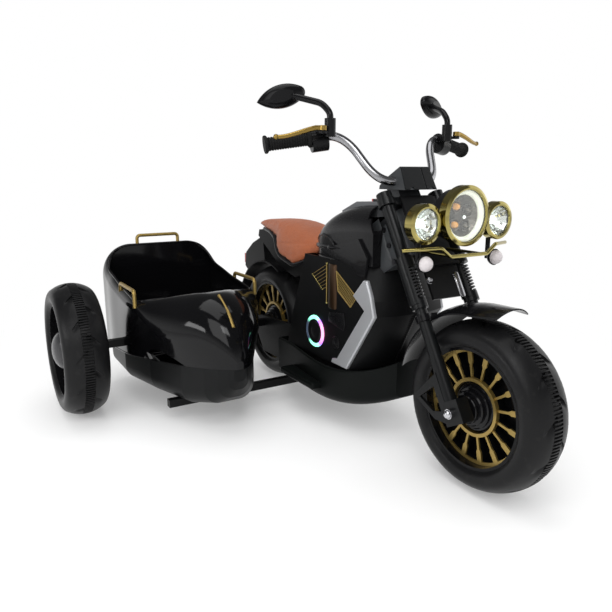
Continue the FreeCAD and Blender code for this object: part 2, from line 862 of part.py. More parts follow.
def switch_pod():
    # the switch housing clamped on the bar, with the mirror's post and the lever's ear and pin
    start = along_grip(grip_length + body_clearance)
    finish = along_grip(grip_length + body_clearance + pod_length)
    middle = pod_middle()
    along = (finish - start).normalize()
    drop = (along * along.z - Vector(0, 0, 1)).normalize() * pod_drop
    barrel = rod(start, finish, pod_radius - bowl_wall)
    low = rod(start + drop, finish + drop, pod_radius)
    foot = mirror_axis()
    post = rod(foot, foot + Vector(0, 0, mirror_post_height), mirror_post_radius)
    arm = box(middle.x, foot.x, foot.y - pod_arm_half, foot.y + pod_arm_half, foot.z,
              foot.z + 2 * pod_arm_half)
    pivot = lever_pivot()
    ear_high = pivot.z - lever_height / 2
    ear_low = ear_high - lever_ear_height
    ear = rod((pivot.x, pivot.y, ear_low), (pivot.x, pivot.y, ear_high), lever_eye_radius)
    bridge = box(middle.x, pivot.x, middle.y - pod_arm_half, pivot.y, ear_low, ear_high)
    pin = rod((pivot.x, pivot.y, ear_low), (pivot.x, pivot.y, pivot.z + lever_height / 2), lever_pin_radius)
    bar = rod(along_grip(0), along_grip(grip_length + 3 * pod_length), bar_radius + seat_clearance)
    hole_low = foot.z + mirror_post_height - mirror_hole_depth
    hole = rod((foot.x, foot.y, hole_low), (foot.x, foot.y, hole_low + 2 * mirror_hole_depth),
               mirror_stem_radius + running_clearance)
    return barrel.multiFuse([low, post, arm, ear, bridge, pin]).cut(bar).cut(hole).removeSplitter()


def lever():
    pivot = lever_pivot()
    tip = Vector(*bar_end) + Vector(lever_tip_x, 0, lever_tip_z)
    bow = Vector(lever_bow, 0, 0)
    outward = Vector(tip.x - pivot.x, tip.y - pivot.y, 0).normalize()
    level = pivot + outward * (2 * lever_eye_radius)
    points = [pivot, level, level * 0.6 + tip * 0.4 + bow, tip]
    blades = []
    half = lever_thickness / 2
    low = Vector(0, 0, -lever_height / 2)
    for a, b in zip(points, points[1:]):
        flat = Vector(b.x - a.x, b.y - a.y, 0).normalize()
        across = Vector(-flat.y, flat.x, 0) * half
        face = closed_face([tuple(a + across + low), tuple(b + across + low), tuple(b - across + low),
                            tuple(a - across + low)])
        blades.append(face.extrude(Vector(0, 0, lever_height)))
        blades.append(rod(b + low, b - low, half))
    solid = rod(pivot + low, pivot - low, lever_eye_radius).multiFuse(blades)
    bore = rod(pivot + low * 2, pivot - low * 2, lever_pin_radius + running_clearance)
    return solid.cut(bore).removeSplitter()


def mirror_stem():
    foot = mirror_axis() + Vector(0, 0, mirror_post_height - mirror_hole_depth + body_clearance)
    top = mirror_axis() + Vector(0, 0, mirror_post_height)
    knee = top + Vector(0, 0, 2 * mirror_stem_radius)
    bend, joint = top + Vector(*mirror_bend), top + Vector(*mirror_joint)
    route = [tuple(foot), tuple(knee), tuple(bend), tuple(joint)]
    stem = bent_rod(route, mirror_stem_radius, 2 * mirror_stem_radius)
    return stem, joint


def mirror_shell(joint):
    # a leaf-shaped shell with its pointed end outward, the glass on the rider's side
    half, tall = mirror_length / 2, mirror_height / 2

    def outline(x, scale):
        def at(y, z):
            return Vector(x, y * scale, z * scale)
        edges = [Part.Arc(at(half, 0), at(0, tall), at(-half * 0.86, tall * 0.5)),
                 Part.Arc(at(-half * 0.86, tall * 0.5), at(-half, 0), at(-half * 0.86, -tall * 0.5)),
                 Part.Arc(at(-half * 0.86, -tall * 0.5), at(0, -tall), at(half, 0))]
        return Part.Wire([edge.toShape() for edge in edges])

    rear, front = -mirror_edge, mirror_depth
    shell = Part.makeLoft([outline(rear, 1.0), outline(front * 0.35, 0.97), outline(front - mirror_edge, 0.75),
                           outline(front, 0.5)], True, False)
    glass = Part.Face(outline(rear - mirror_glass_thickness, 0.93)).extrude(Vector(mirror_glass_thickness, 0, 0))
    for solid in (shell, glass):
        solid.rotate(Vector(0, 0, 0), Vector(1, 0, 0), -mirror_tilt)
        solid.rotate(Vector(0, 0, 0), Vector(0, 0, 1), mirror_yaw)
        solid.translate(joint + Vector(*mirror_centre))
    return shell, glass


def mirror():
    stem, joint = mirror_stem()
    shell, glass = mirror_shell(joint)
    return Part.Compound([stem.cut(shell), shell, glass])


def clamp_box():
    # a console round the bar, standing on the upper clamp: upright in front, its top falling towards the rider
    x, y, z = bar_root
    low, high = z - box_drop, z - box_drop + box_height
    profile = [(x + box_front_low, low), (x + box_front_top, high), (x + box_brow, z + box_brow_rise),
               (x + box_rear, z - box_rear_drop), (x + box_rear, low)]
    block = side_plate(profile, -box_low_half_width, box_low_half_width)
    front_view = [(x - wheelbase, -box_low_half_width, low), (x - wheelbase, box_low_half_width, low),
                  (x - wheelbase, box_top_half_width, high), (x - wheelbase, -box_top_half_width, high)]
    block = block.common(closed_face(front_view).extrude(Vector(2 * wheelbase, 0, 0)))
    seat_z = upper_clamp_z + clamp_thickness
    foot = in_fork(box(steer_x, -leg_setback, -box_foot_half_width, box_foot_half_width, seat_z,
                       seat_z + 2 * box_height))
    foot = foot.common(box(x - wheelbase, x + wheelbase, -wheelbase, wheelbase, 0, low))
    return block.fuse(foot).removeSplitter().cut(handlebar())


# Body

def wheel_room(half_width, gap):
    return rod((0, -half_width, 0), (0, half_width, 0), wheel_radius + gap)


def pan_sections():
    nose = wheelbase + pan_nose_x
    return [(pan_rear_x, pan_half_width - 8, underside, pan_top, 16, 6),
            (pan_rear_x + 120, pan_half_width, underside, pan_top, 18, 6),
            (nose - 105, pan_half_width, underside + 18, pan_top + 4, 24, 6),
            (nose, 42, underside + 58, pan_top + 44, 20, 6)]


def chassis_pan():
    sections = pan_sections()
    inner = loft(inset(sections, pan_wall, open_high=20))
    board_low = underside + foot_board_drop
    boards = []
    for side in (-1, 1):
        near, far = side * (pan_half_width - pan_wall), side * (pan_half_width + foot_board_reach)
        board = box(foot_board_rear_x, foot_board_rear_x + foot_board_length, min(near, far), max(near, far),
                    board_low, board_low + foot_board_thickness)
        boards.append(board.makeFillet(foot_board_thickness / 3, board.Edges))
    solid = loft(sections).multiFuse(boards).cut(inner)
    return solid.cut(wheel_room(swingarm_inner, fender_gap)).removeSplitter()


def shell_outline(z, rear_x, corner_x, nose_x, half):
    # plan of the lower body at one height: flat rear, straight sides, bowed front
    def at(x, y):
        return Vector(x, y, z)
    edges = [Part.LineSegment(at(corner_x, half), at(rear_x, half)),
             Part.LineSegment(at(rear_x, half), at(rear_x, -half)),
             Part.LineSegment(at(rear_x, -half), at(corner_x, -half)),
             Part.Arc(at(corner_x, -half), at(nose_x, 0), at(corner_x, half))]
    return Part.Wire([edge.toShape() for edge in edges])


def shell_levels():
    # height, rear, corner and nose of the lower body, front sizes counted back from the front axle
    return [(pan_top, 205, wheelbase - 338, wheelbase - 290),
            (74, 232, wheelbase - 284, wheelbase - 250),
            (144, 258, wheelbase - 232, wheelbase - 214),
            (178, 272, wheelbase - 240, wheelbase - 212),
            (shell_top, 300, wheelbase - 290, wheelbase - 240)]


def shell_loft(wall):
    outlines = [shell_outline(z, rear + wall, corner - wall, nose - wall, body_half_width - wall)
                for z, rear, corner, nose in shell_levels()]
    return Part.makeLoft(outlines, True, True)


def body_shells():
    hollow = shell_loft(0).cut(shell_loft(shell_wall))
    hollow = hollow.cut(loft(pan_sections())).cut(head_room())
    reach = 2 * wheelbase
    right = hollow.common(box(-reach, reach, -reach, 0, -reach, reach))
    left = hollow.common(box(-reach, reach, 0, reach, -reach, reach))
    socket_hole = socket_rod(body_half_width - socket_depth, body_half_width, socket_barrel + seat_clearance)
    return right, left.cut(socket_hole)


def head_room():
    # what the steering head fills, and what the clamps and legs sweep, stays free of the body
    low = sleeve_low + shield_overlap
    far = wheelbase
    ahead = box(steer_x - leg_sweep, far, -far, far, -far, upper_clamp_z + far)
    upper = box(steer_x - clamp_sweep, far, -far, far, upper_clamp_z - head_gap, far)
    lower = box(steer_x - clamp_sweep, far, -far, far, low - head_gap, low + clamp_thickness + head_gap)
    return in_fork(ahead.multiFuse([upper, lower])).fuse(in_fork(head_block(seat_clearance)))


def head_block(grown):
    low = sleeve_low + shield_overlap + clamp_thickness + head_gap
    high = upper_clamp_z - head_gap
    barrel = rod((steer_x, 0, low), (steer_x, 0, high), head_radius + grown)
    back = steer_x - head_reach
    rear = box(back - grown, steer_x, -head_radius - grown, head_radius + grown, low, high)
    wide = box(back - grown, steer_x, -head_half_width - grown, head_half_width + grown,
               low, high - head_shoulder)
    return barrel.multiFuse([rear, wide])


def steering_head():
    # the cowl that carries the stem between the two clamps and reaches back under the tank
    low = sleeve_low + shield_overlap
    bore = rod((steer_x, 0, low), (steer_x, 0, upper_clamp_z), stem_radius + running_clearance)
    return in_fork(head_block(0).cut(bore).removeSplitter())


def head_plugs():
    # black plugs over the screws in the cowl's sides
    low = sleeve_low + shield_overlap + clamp_thickness + head_gap
    plugs = []
    for number in range(plug_count):
        height = low + plug_radius + head_gap + plug_pitch * number
        x = steer_x - plug_setback
        face = head_half_width
        plugs.append(in_fork(rod((x, face, height), (x, face + plug_height, height), plug_radius)))
    return plugs


def tank_sections():
    front = wheelbase - 258
    low = shell_top
    return [(tank_rear_x, body_half_width - 30, low, low + 44, 2, 18),
            (tank_rear_x + 30, body_half_width - 10, low, low + 78, 2, 36),
            (tank_rear_x + 95, body_half_width, low, low + 116, 2, 56),
            (tank_rear_x + 180, body_half_width, low, tank_top - 4, 2, 62),
            (front, body_half_width - 4, low, tank_top, 2, 62)]


def tank_wing():
    # the pointed lobe of the tank that runs down the flank to the side guard
    return side_plate(from_front_axle(wing_outline), body_half_width + seat_clearance,
                      body_half_width + wing_thickness)


def tank_cover():
    sections = tank_sections()
    inner = loft(inset(sections, tank_wall, open_low=tank_wall))
    wings = [tank_wing(), mirrored(tank_wing())]
    solid = loft(sections).multiFuse(wings).cut(inner)
    return solid.cut(head_room()).cut(panel_block(0)).removeSplitter()


def panel_block(shrunk):
    rear, front = tank_rear_x + 70 + shrunk, wheelbase - 305 - shrunk
    half = panel_top_half_width - shrunk
    outline = [(rear, tank_top - 42), (front, tank_top - 30), (front, tank_top + 4), (rear + 60, tank_top + 2),
               (rear, tank_top - 22)]
    return side_plate(outline, -half, half)


def button_place():
    return wheelbase - 390, 14.0, tank_top + 3


def rocker_place():
    return wheelbase - 340, -14.0, tank_top + 4


def control_panel():
    panel = panel_block(seat_clearance)
    x, y, z = button_place()
    room_low = z - 2 * button_height - 4 * button_travel
    socket = rod((x, y, room_low), (x, y, z + button_height), button_radius + body_clearance)
    rx, ry, rz = rocker_place()
    slot = box(rx - rocker_half_length - 1, rx + rocker_half_length + 1, ry - rocker_half_width - body_clearance,
               ry + rocker_half_width + body_clearance, rz - 3 * button_height, rz + button_height)
    pin_z = rz - rocker_pin_drop
    pin_half = rocker_half_width + 1
    pin = rod((rx, ry - pin_half, pin_z), (rx, ry + pin_half, pin_z), rocker_pin_radius)
    return panel.cut(socket).cut(slot).fuse(pin).removeSplitter()


def power_button():
    x, y, z = button_place()
    return rod((x, y, z - 2 * button_height), (x, y, z + button_height / 2), button_radius)


def direction_rocker():
    x, y, z = rocker_place()
    block = side_plate([(x - rocker_half_length, z - 6), (x, z - 10), (x + rocker_half_length, z - 6),
                        (x + rocker_half_length, z + 5), (x, z + 2), (x - rocker_half_length, z + 5)],
                       y - rocker_half_width, y + rocker_half_width)
    pin_z = z - rocker_pin_drop
    bore = rod((x, y - 20, pin_z), (x, y + 20, pin_z), rocker_pin_radius + running_clearance)
    return block.cut(bore)


def seat_sections():
    # a crowned saddle: a thin tail, skirts that drop at its middle and a nose that draws in to the tank
    top = seat_top
    return [(seat_rear_x, 22, top - 30, top - 18, 3, 5),
            (seat_rear_x + 42, 34, top - 28, top - 6, 3, 9),
            (seat_rear_x + 142, 56, top - 34, top + 3, 4, 16),
            (seat_rear_x + 204, seat_half_width - 18, top - 50, top + 4, 4, 30),
            (seat_rear_x + 230, seat_half_width - 8, top - 92, top + 3, 5, 44),
            (seat_rear_x + 332, seat_half_width, top - 108, top - 8, 5, 50),
            (seat_rear_x + 405, seat_half_width - 6, top - 80, top - 32, 5, 36),
            (tank_rear_x - body_clearance, seat_half_width - 30, top - 62, top - 46, 4, 8)]


def seat():
    saddle = loft(seat_sections(), 0.0, True)
    return saddle.cut(seat_base_block(body_clearance)).cut(shell_loft(-body_clearance))


def seat_base_block(grown):
    # the hump that carries the seat, from the tail to the lower body
    low = seat_top - seat_thickness
    front = tank_rear_x - 20 + 2 * grown
    (nose_x0, nose_z), *belly = saddle_base_foot
    outline = [(seat_rear_x + 30, low - 34), (seat_rear_x + 36, low - 14 + grown),
               (seat_rear_x + 160, low + grown),
               (seat_rear_x + 300, low - 12 + grown), (front, low - 44 + grown), (nose_x0 + 2 * grown, nose_z)]
    outline += belly
    return side_plate(outline, -seat_base_half_width - grown, seat_base_half_width + grown)


def rear_fender():
    # the tail piece: an arch over the tyre, the seat base and the lamp bracket in one moulding
    inner = wheel_radius + fender_gap
    outer = inner + tail_wall
    arch = turned_about_y([(inner, -swingarm_inner), (outer, -swingarm_inner), (outer, swingarm_inner),
                           (inner, swingarm_inner)])
    far = 3 * wheel_radius
    arch = arch.common(side_plate([(0, 0), (-far, far * 0.3), (-far, far), (far * 0.5, far)], -far, far))
    tail = side_plate(tail_outline, -tail_half_width, tail_half_width)
    solid = arch.multiFuse([seat_base_block(0), tail]).cut(wheel_room(far, fender_gap))
    return solid.cut(shell_loft(0)).removeSplitter()


def tail_lamp():
    half = tail_half_width - tail_lamp_inset
    lens = box(tail_end_x - tail_lamp_half_depth, tail_end_x + tail_lamp_half_depth, -half, half, tail_lamp_low,
               tail_lamp_high)
    return lens.cut(rear_fender())


def swingarm_plate():
    # right-hand plate from the rear axle forward to the lower body, with a skirt over the wheel's lower half
    half = swingarm_height / 2
    foot = -swingarm_skirt_drop
    front, rear = swingarm_front_x, -swingarm_skirt_rear
    outline = [(0, half), (front, half + swingarm_rise), (front, foot), (0, foot), (rear, -half),
               (rear, half / 2)]
    plate = side_plate(outline, -swingarm_inner, -swingarm_inner - swingarm_thickness)
    eye = rod((0, -swingarm_inner, 0), (0, -swingarm_inner - swingarm_thickness, 0), half)
    bore = rod((0, 0, 0), (0, -2 * swingarm_inner, 0), axle_radius + seat_clearance)
    return plate.fuse(eye).cut(bore).cut(shell_loft(0)).cut(loft(pan_sections())).removeSplitter()


def side_guard():
    # a bent silver bar along the corner of the lower body
    return side_plate(from_front_axle(guard_outline), body_half_width, body_half_width + guard_thickness)


def led_ring():
    place = Vector(ring_x, body_half_width, ring_z)
    ring = Part.makeTorus(ring_radius, ring_tube, place, Vector(0, 1, 0))
    far = 2 * ring_radius
    return ring.common(box(ring_x - far, ring_x + far, body_half_width, body_half_width + far, ring_z - far,
                           ring_z + far))


def mesh_insert():
    return side_plate(from_front_axle(mesh_outline), body_half_width, body_half_width + mesh_thickness)


# Drive

def gear(teeth, width, y, bore):
    # an involute spur gear round the Y axis with one tooth on +X
    pitch = gear_module * teeth / 2
    base = pitch * math.cos(pressure_angle)
    tip = pitch + gear_module
    root = pitch - 1.25 * gear_module
    rolled = math.tan(pressure_angle) - pressure_angle
    half_tooth = math.pi / (2 * teeth) - gear_backlash / (2 * pitch)
    start = max(base, root)

    def flank(radius):
        angle = math.acos(min(base / radius, 1.0))
        return half_tooth + rolled - (math.tan(angle) - angle)

    radii = [start + (tip - start) * step / 4 for step in range(5)]
    points = []
    for number in range(teeth):
        middle = 2 * math.pi * number / teeth
        lower = [(root, middle - flank(start))] + [(radius, middle - flank(radius)) for radius in radii]
        upper = [(radius, middle + flank(radius)) for radius in reversed(radii)]
        upper.append((root, middle + flank(start)))
        points += [point for place, point in enumerate(lower + upper) if place not in (1, 10) or start > root]
    corners = [(radius * math.cos(angle), y, radius * math.sin(angle)) for radius, angle in points]
    solid = closed_face(corners).extrude(Vector(0, width, 0))
    return solid.cut(rod((0, y - 1, 0), (0, y + width + 1, 0), bore))


def spun(shape, degrees):
    copy = shape.copy()
    copy.rotate(Vector(0, 0, 0), Vector(0, 1, 0), degrees)
    return copy


def first_plane():
    return swingarm_inner + case_wall


def second_plane():
    return first_plane() + gear_width + gear_gap


def idler_centre():
    reach = gear_module * (output_teeth + idler_small_teeth) / 2
    angle = math.radians(gear_angle)
    return reach * math.cos(angle), reach * math.sin(angle)


def pinion_centre():
    x, z = idler_centre()
    return x + gear_module * (idler_big_teeth + pinion_teeth) / 2, z


def output_gear():
    # turned by the idler and keyed to the rear rim by its sleeve
    bore = axle_radius + running_clearance
    wheel = gear(output_teeth, gear_width, first_plane(), bore)
    sleeve = rod((0, hub_half, 0), (0, first_plane() + 1, 0), sleeve_radius)
    sleeve = sleeve.cut(rod((0, 0, 0), (0, 2 * hub_half, 0), bore))
    return wheel.fuse(sleeve).removeSplitter()


def reduction_gear():
    # small wheel on the output gear, big wheel on the pinion, in one moulding
    x, z = idler_centre()
    bore = gear_shaft_radius + running_clearance
    half_tooth = 180.0 / idler_small_teeth
    # the mesh line runs at gear_angle, so the small wheel is turned to put a gap on the output gear's tooth
    output_phase = gear_angle * output_teeth / idler_small_teeth
    small_turn = -(gear_angle + 180.0 + half_tooth) - output_phase
    small = spun(gear(idler_small_teeth, gear_width + gear_gap + 1, first_plane(), bore), small_turn)
    big = gear(idler_big_teeth, gear_width, second_plane(), bore)
    return moved(small.fuse(big).removeSplitter(), x, 0, z)


def motor_pinion():
    x, z = pinion_centre()
    wheel = gear(pinion_teeth, gear_width, second_plane(), 1.0)
    wheel = spun(wheel, 180.0 + 180.0 / pinion_teeth)
    start = second_plane()
    shaft = rod((0, start, 0), (0, start + gear_width + case_wall + motor_length * 0.6, 0), motor_shaft_radius)
    return moved(wheel.fuse(shaft).removeSplitter(), x, 0, z)


def case_outline():
    reach = gear_module * (output_teeth / 2 + 1) + case_wall + gear_gap
    x, z = pinion_centre()
    top = z + gear_module * (idler_big_teeth / 2 + 1) + case_wall + gear_gap
    return reach, x + motor_radius + 6, top


def case_prism(shrunk, near, far):
    reach, end_x, top = case_outline()
    outline = [(-reach + shrunk, -reach * 0.5), (-reach + shrunk, reach * 0.5), (-reach * 0.5, reach - shrunk),
               (20, top - shrunk), (end_x, top - shrunk), (pan_rear_x - shrunk, 20),
               (pan_rear_x - shrunk, -reach * 0.4), (reach * 0.6, -reach + shrunk), (-reach * 0.5, -reach + shrunk)]
    return side_plate(outline, near, far)


def case_face():
    return second_plane() + gear_width + 2


def gearbox_case():
    # a tray round the gears, open to the left; it also carries the reduction gear's shaft
    body = case_prism(0, swingarm_inner - gear_gap, case_face())
    hollow = case_prism(case_wall, first_plane() - gear_gap / 2, case_face() + 1)
    hub_hole = rod((0, 0, 0), (0, case_face(), 0), sleeve_radius + body_clearance)
    x, z = idler_centre()
    shaft = rod((x, swingarm_inner - gear_gap, z), (x, case_face(), z), gear_shaft_radius)
    return body.cut(hollow).cut(hub_hole).fuse(shaft).removeSplitter()


def gearbox_cover():
    plate = case_prism(0, case_face(), case_face() + case_wall)
    x, z = pinion_centre()
    shaft_hole = rod((x, 0, z), (x, 2 * case_face(), z), motor_shaft_radius + 1)
    axle_hole = rod((0, 0, 0), (0, 2 * case_face(), 0), axle_radius + seat_clearance)
    return plate.cut(shaft_hole).cut(axle_hole)


def drive_motor():
    x, z = pinion_centre()
    start = case_face() + case_wall
    can = rod((x, start, z), (x, start + motor_length, z), motor_radius)
    end_bell = rod((x, start + motor_length, z), (x, start + motor_length + 4, z), motor_radius * 0.5)
    bore = rod((x, 0, z), (x, start + motor_length * 0.8, z), motor_shaft_radius + running_clearance)
    return can.fuse(end_bell).cut(bore).removeSplitter()


def battery():
    floor = underside + pan_wall + battery_lift
    return box(battery_rear_x, battery_rear_x + battery_length, -battery_width / 2, battery_width / 2, floor,
               floor + battery_height)


def control_board():
    x = battery_rear_x + battery_length / 2
    floor = underside + pan_wall + battery_lift + battery_height
    board = box(x - 45, x + 45, -30, 30, floor, floor + 2)
    chips = [box(x - 30 + 25 * number, x - 18 + 25 * number, -10, 8, floor + 2, floor + 9)
             for number in range(3)]
    return board.multiFuse(chips).removeSplitter()


def socket_rod(near, far, radius):
    return rod((socket_x, near, socket_z), (socket_x, far, socket_z), radius)


def charge_socket():
    # a round barrel socket let into the left flank
    face = body_half_width + socket_flange
    flange = socket_rod(body_half_width, face, socket_radius)
    barrel = socket_rod(body_half_width - socket_depth, face, socket_barrel)
    bore = socket_rod(body_half_width - socket_depth + socket_flange, face, socket_bore)
    return flange.fuse(barrel).cut(bore).removeSplitter()


# Sidecar

def flange_z(x):
    share = (x - tub_rear_x) / (tub_nose_x - tub_rear_x)
    return flange_rear_z + share * (flange_front_z - flange_rear_z)


def bow(share, fullness):
    # a curve that falls from one to nothing as the share of the way goes from nothing to one
    return (1 - max(share, 0.0) ** fullness) ** (1 / fullness)


def flange_half(x):
    return tub_half_width * bow((x - bow_start_x) / (tub_nose_x - bow_start_x), bow_fullness)


def nose_shares():
    return (0.0, 0.5, 0.75, 0.91, 0.98)


def nose_x(share):
    return crest_x + share * (tub_nose_x - crest_x)


def tub_sections():
    half = tub_half_width
    back = tub_rear_x + back_thickness
    rows = [(tub_rear_x, half - 8, back_top - 8, back_shoulder, 0.0),
            (back, half - 6, back_top, back_shoulder, 0.0),
            (back + 32, half - 4, rim_rear_z + 30, 56.0, 0.0),
            (back + 90, half, rim_rear_z, 36.0, 0.0),
            (back + 156, half, rim_rear_z - 16, 30.0, 2.0),
            (lip_x - 78, half, rim_front_z + 10, 28.0, 12.0),
            (lip_x - 8, half - 6, rim_front_z + 2, 30.0, side_flare),
            (lip_x + 52, half - 28, crest_z - 8, 80.0, side_flare)]
    sections = [(x, wide, flange_z(x), high, 0.0, corner, flare) for x, wide, high, corner, flare in rows]
    for share in nose_shares():
        x = nose_x(share)
        flare = nose_flare * (1 - share)
        wide = flange_half(x) + flare
        high = flange_front_z + (crest_z - flange_front_z) * bow(share, crest_fullness)
        sections.append((x, wide, flange_z(x), high, 0.0, 0.88 * min(wide, high - flange_z(x)), flare))
    return sections


def hull_sections():
    half = tub_half_width
    rows = [(tub_rear_x, half - 20, flange_rear_z - 26, 12.0), (tub_rear_x + 60, half - 8, underside + 6, 34.0),
            (0.0, flange_half(0.0), underside, 44.0), (lip_x, flange_half(lip_x), underside, 46.0)]
    sections = [(x, wide, low, flange_z(x), corner, 1.0) for x, wide, low, corner in rows]
    for share in nose_shares():
        x = nose_x(share) - tub_wall
        wide = flange_half(x)
        low = underside + (flange_z(x) - underside - 2 * tub_wall) * (1 - bow(share, 2.0))
        sections.append((x, wide, low, flange_z(x), 0.8 * min(wide, flange_z(x) - low, 50.0), 1.0))
    return sections


def cockpit_block():
    # the mouth of the cockpit, cut through the deck only
    half = tub_half_width - rim_width
    block = box(tub_rear_x + back_thickness, lip_x, tub_y - half, tub_y + half, rim_front_z - 2 * rim_width,
                2 * back_top)
    upright = [edge for edge in block.Edges if abs(edge.BoundBox.ZLength) > back_top]
    return block.makeFillet(cockpit_corner, upright)


def axle_bar_room():
    half = frame_tube / 2 + body_clearance
    return box(-half, half, -sidecar_track, 0, -half, half)


def sidecar_tub():
    sections = tub_sections()
    back = tub_rear_x + back_thickness
    far = 2 * tub_half_width
    bulkhead = box(back - tub_wall, back, tub_y - far, tub_y + far, flange_rear_z, 2 * back_top)
    inner = loft(inset(sections, tub_wall, open_low=30), tub_y).cut(bulkhead)
    return loft(sections, tub_y).cut(inner).cut(cockpit_block()).cut(axle_bar_room()).removeSplitter()


def sidecar_hull():
    sections = hull_sections()
    inner = loft(inset(sections, tub_wall, open_high=30), tub_y, True)
    return loft(sections, tub_y, True).cut(inner)


def sidecar_bench():
    # a hollow moulded seat that stands on the hull's floor
    low = underside + tub_wall
    rear = tub_rear_x + back_thickness + bench_gap
    half = tub_half_width - rim_width - 6
    high = low + bench_height
    outer = box(rear, rear + bench_length, tub_y - half, tub_y + half, low, high)
    hollow = box(rear + tub_wall, rear + bench_length - tub_wall, tub_y - half + tub_wall, tub_y + half - tub_wall,
                 low - 1, high - tub_wall)
    hull_inside = loft(inset(hull_sections(), tub_wall + body_clearance, open_high=400), tub_y, True)
    return outer.cut(hollow).common(hull_inside).cut(axle_bar_room())


def sidecar_rails(tub):
    rails = []
    x = tub_rear_x + back_thickness / 2
    low, high = back_top - tub_wall, back_top + rail_height
    half = back_rail_half
    rails.append(bent_rod([(x, tub_y - half, low), (x, tub_y - half, high), (x, tub_y + half, high),
                           (x, tub_y + half, low)], rail_radius, 2 * rail_radius))
    for side in (-1, 1):
        y = tub_y + side * (tub_half_width - rim_width / 2)
        base = rim_front_z - rim_width
        top = rim_front_z + rail_height
        rails.append(bent_rod([(side_rail_rear_x, y, base), (side_rail_rear_x, y, top), (side_rail_front_x, y, top),
                               (side_rail_front_x, y, base)], rail_radius, 2 * rail_radius))
    return [rail.cut(tub) for rail in rails]


def sidecar_trim(tub):
    # a thin strip along the crest of the nose
    points = []
    for share in (0.09, 0.5, 0.72):
        high = flange_front_z + (crest_z - flange_front_z) * bow(share, crest_fullness)
        points.append((nose_x(share), tub_y, high))
    return bent_rod(points, trim_radius, 10 * trim_radius).cut(tub)


def sidecar_frame():
    # a square bar under the hull and the bike, and one between the two rear axles
    half = frame_tube / 2
    front = box(front_tube_x - half, front_tube_x + half, tub_y - front_tube_reach, front_tube_inner,
                underside - frame_tube, underside)
    inner, outer = axle_bar_ends()
    bar = box(-half, half, outer, inner, -half, half)
    bore = rod((0, -2 * sidecar_track, 0), (0, 0, 0), axle_radius + seat_clearance)
    middle = box(-half, half, outer + axle_seat_depth, inner - axle_seat_depth, -half, half)
    return Part.Compound([front, bar.cut(bore).fuse(middle).removeSplitter()])


def axle_bar_ends():
    return -swingarm_inner - swingarm_thickness, -sidecar_track + hub_half + axle_spacer


def rear_axle():
    # held by the gearbox cover on the left and screwed into the axle bar on the right
    left = case_face() + case_wall
    right = axle_bar_ends()[0] - axle_seat_depth
    shaft = rod((0, right, 0), (0, left, 0), axle_radius)
    nut = rod((0, left, 0), (0, left + axle_nut_height, 0), axle_nut_radius)
    dome = Part.makeSphere(axle_nut_radius - 1.5, Vector(0, left + axle_nut_height, 0))
    return shaft.multiFuse([nut, dome]).removeSplitter()


def sidecar_axle():
    seat = axle_bar_ends()[1]
    outer = -sidecar_track - hub_half - 2
    shaft = rod((0, seat + axle_seat_depth, 0), (0, outer, 0), axle_radius)
    spacer = rod((0, seat, 0), (0, -sidecar_track + hub_half + body_clearance, 0), axle_nut_radius)
    washer = rod((0, outer, 0), (0, -sidecar_track - hub_half - body_clearance, 0), axle_nut_radius)
    return shaft.multiFuse([spacer, washer]).removeSplitter()


def frame_screws():
    # heads that fasten the front cross tube, the guards and the pan
    screws = head_plugs() + [mirrored(plug) for plug in head_plugs()]
    low = underside - frame_tube
    for y in (tub_y - front_tube_reach + frame_tube, tub_y + front_tube_reach - frame_tube, -60, 20):
        screws.append(rod((front_tube_x, y, low - 3), (front_tube_x, y, low), screw_radius))
    return Part.Compound(screws)


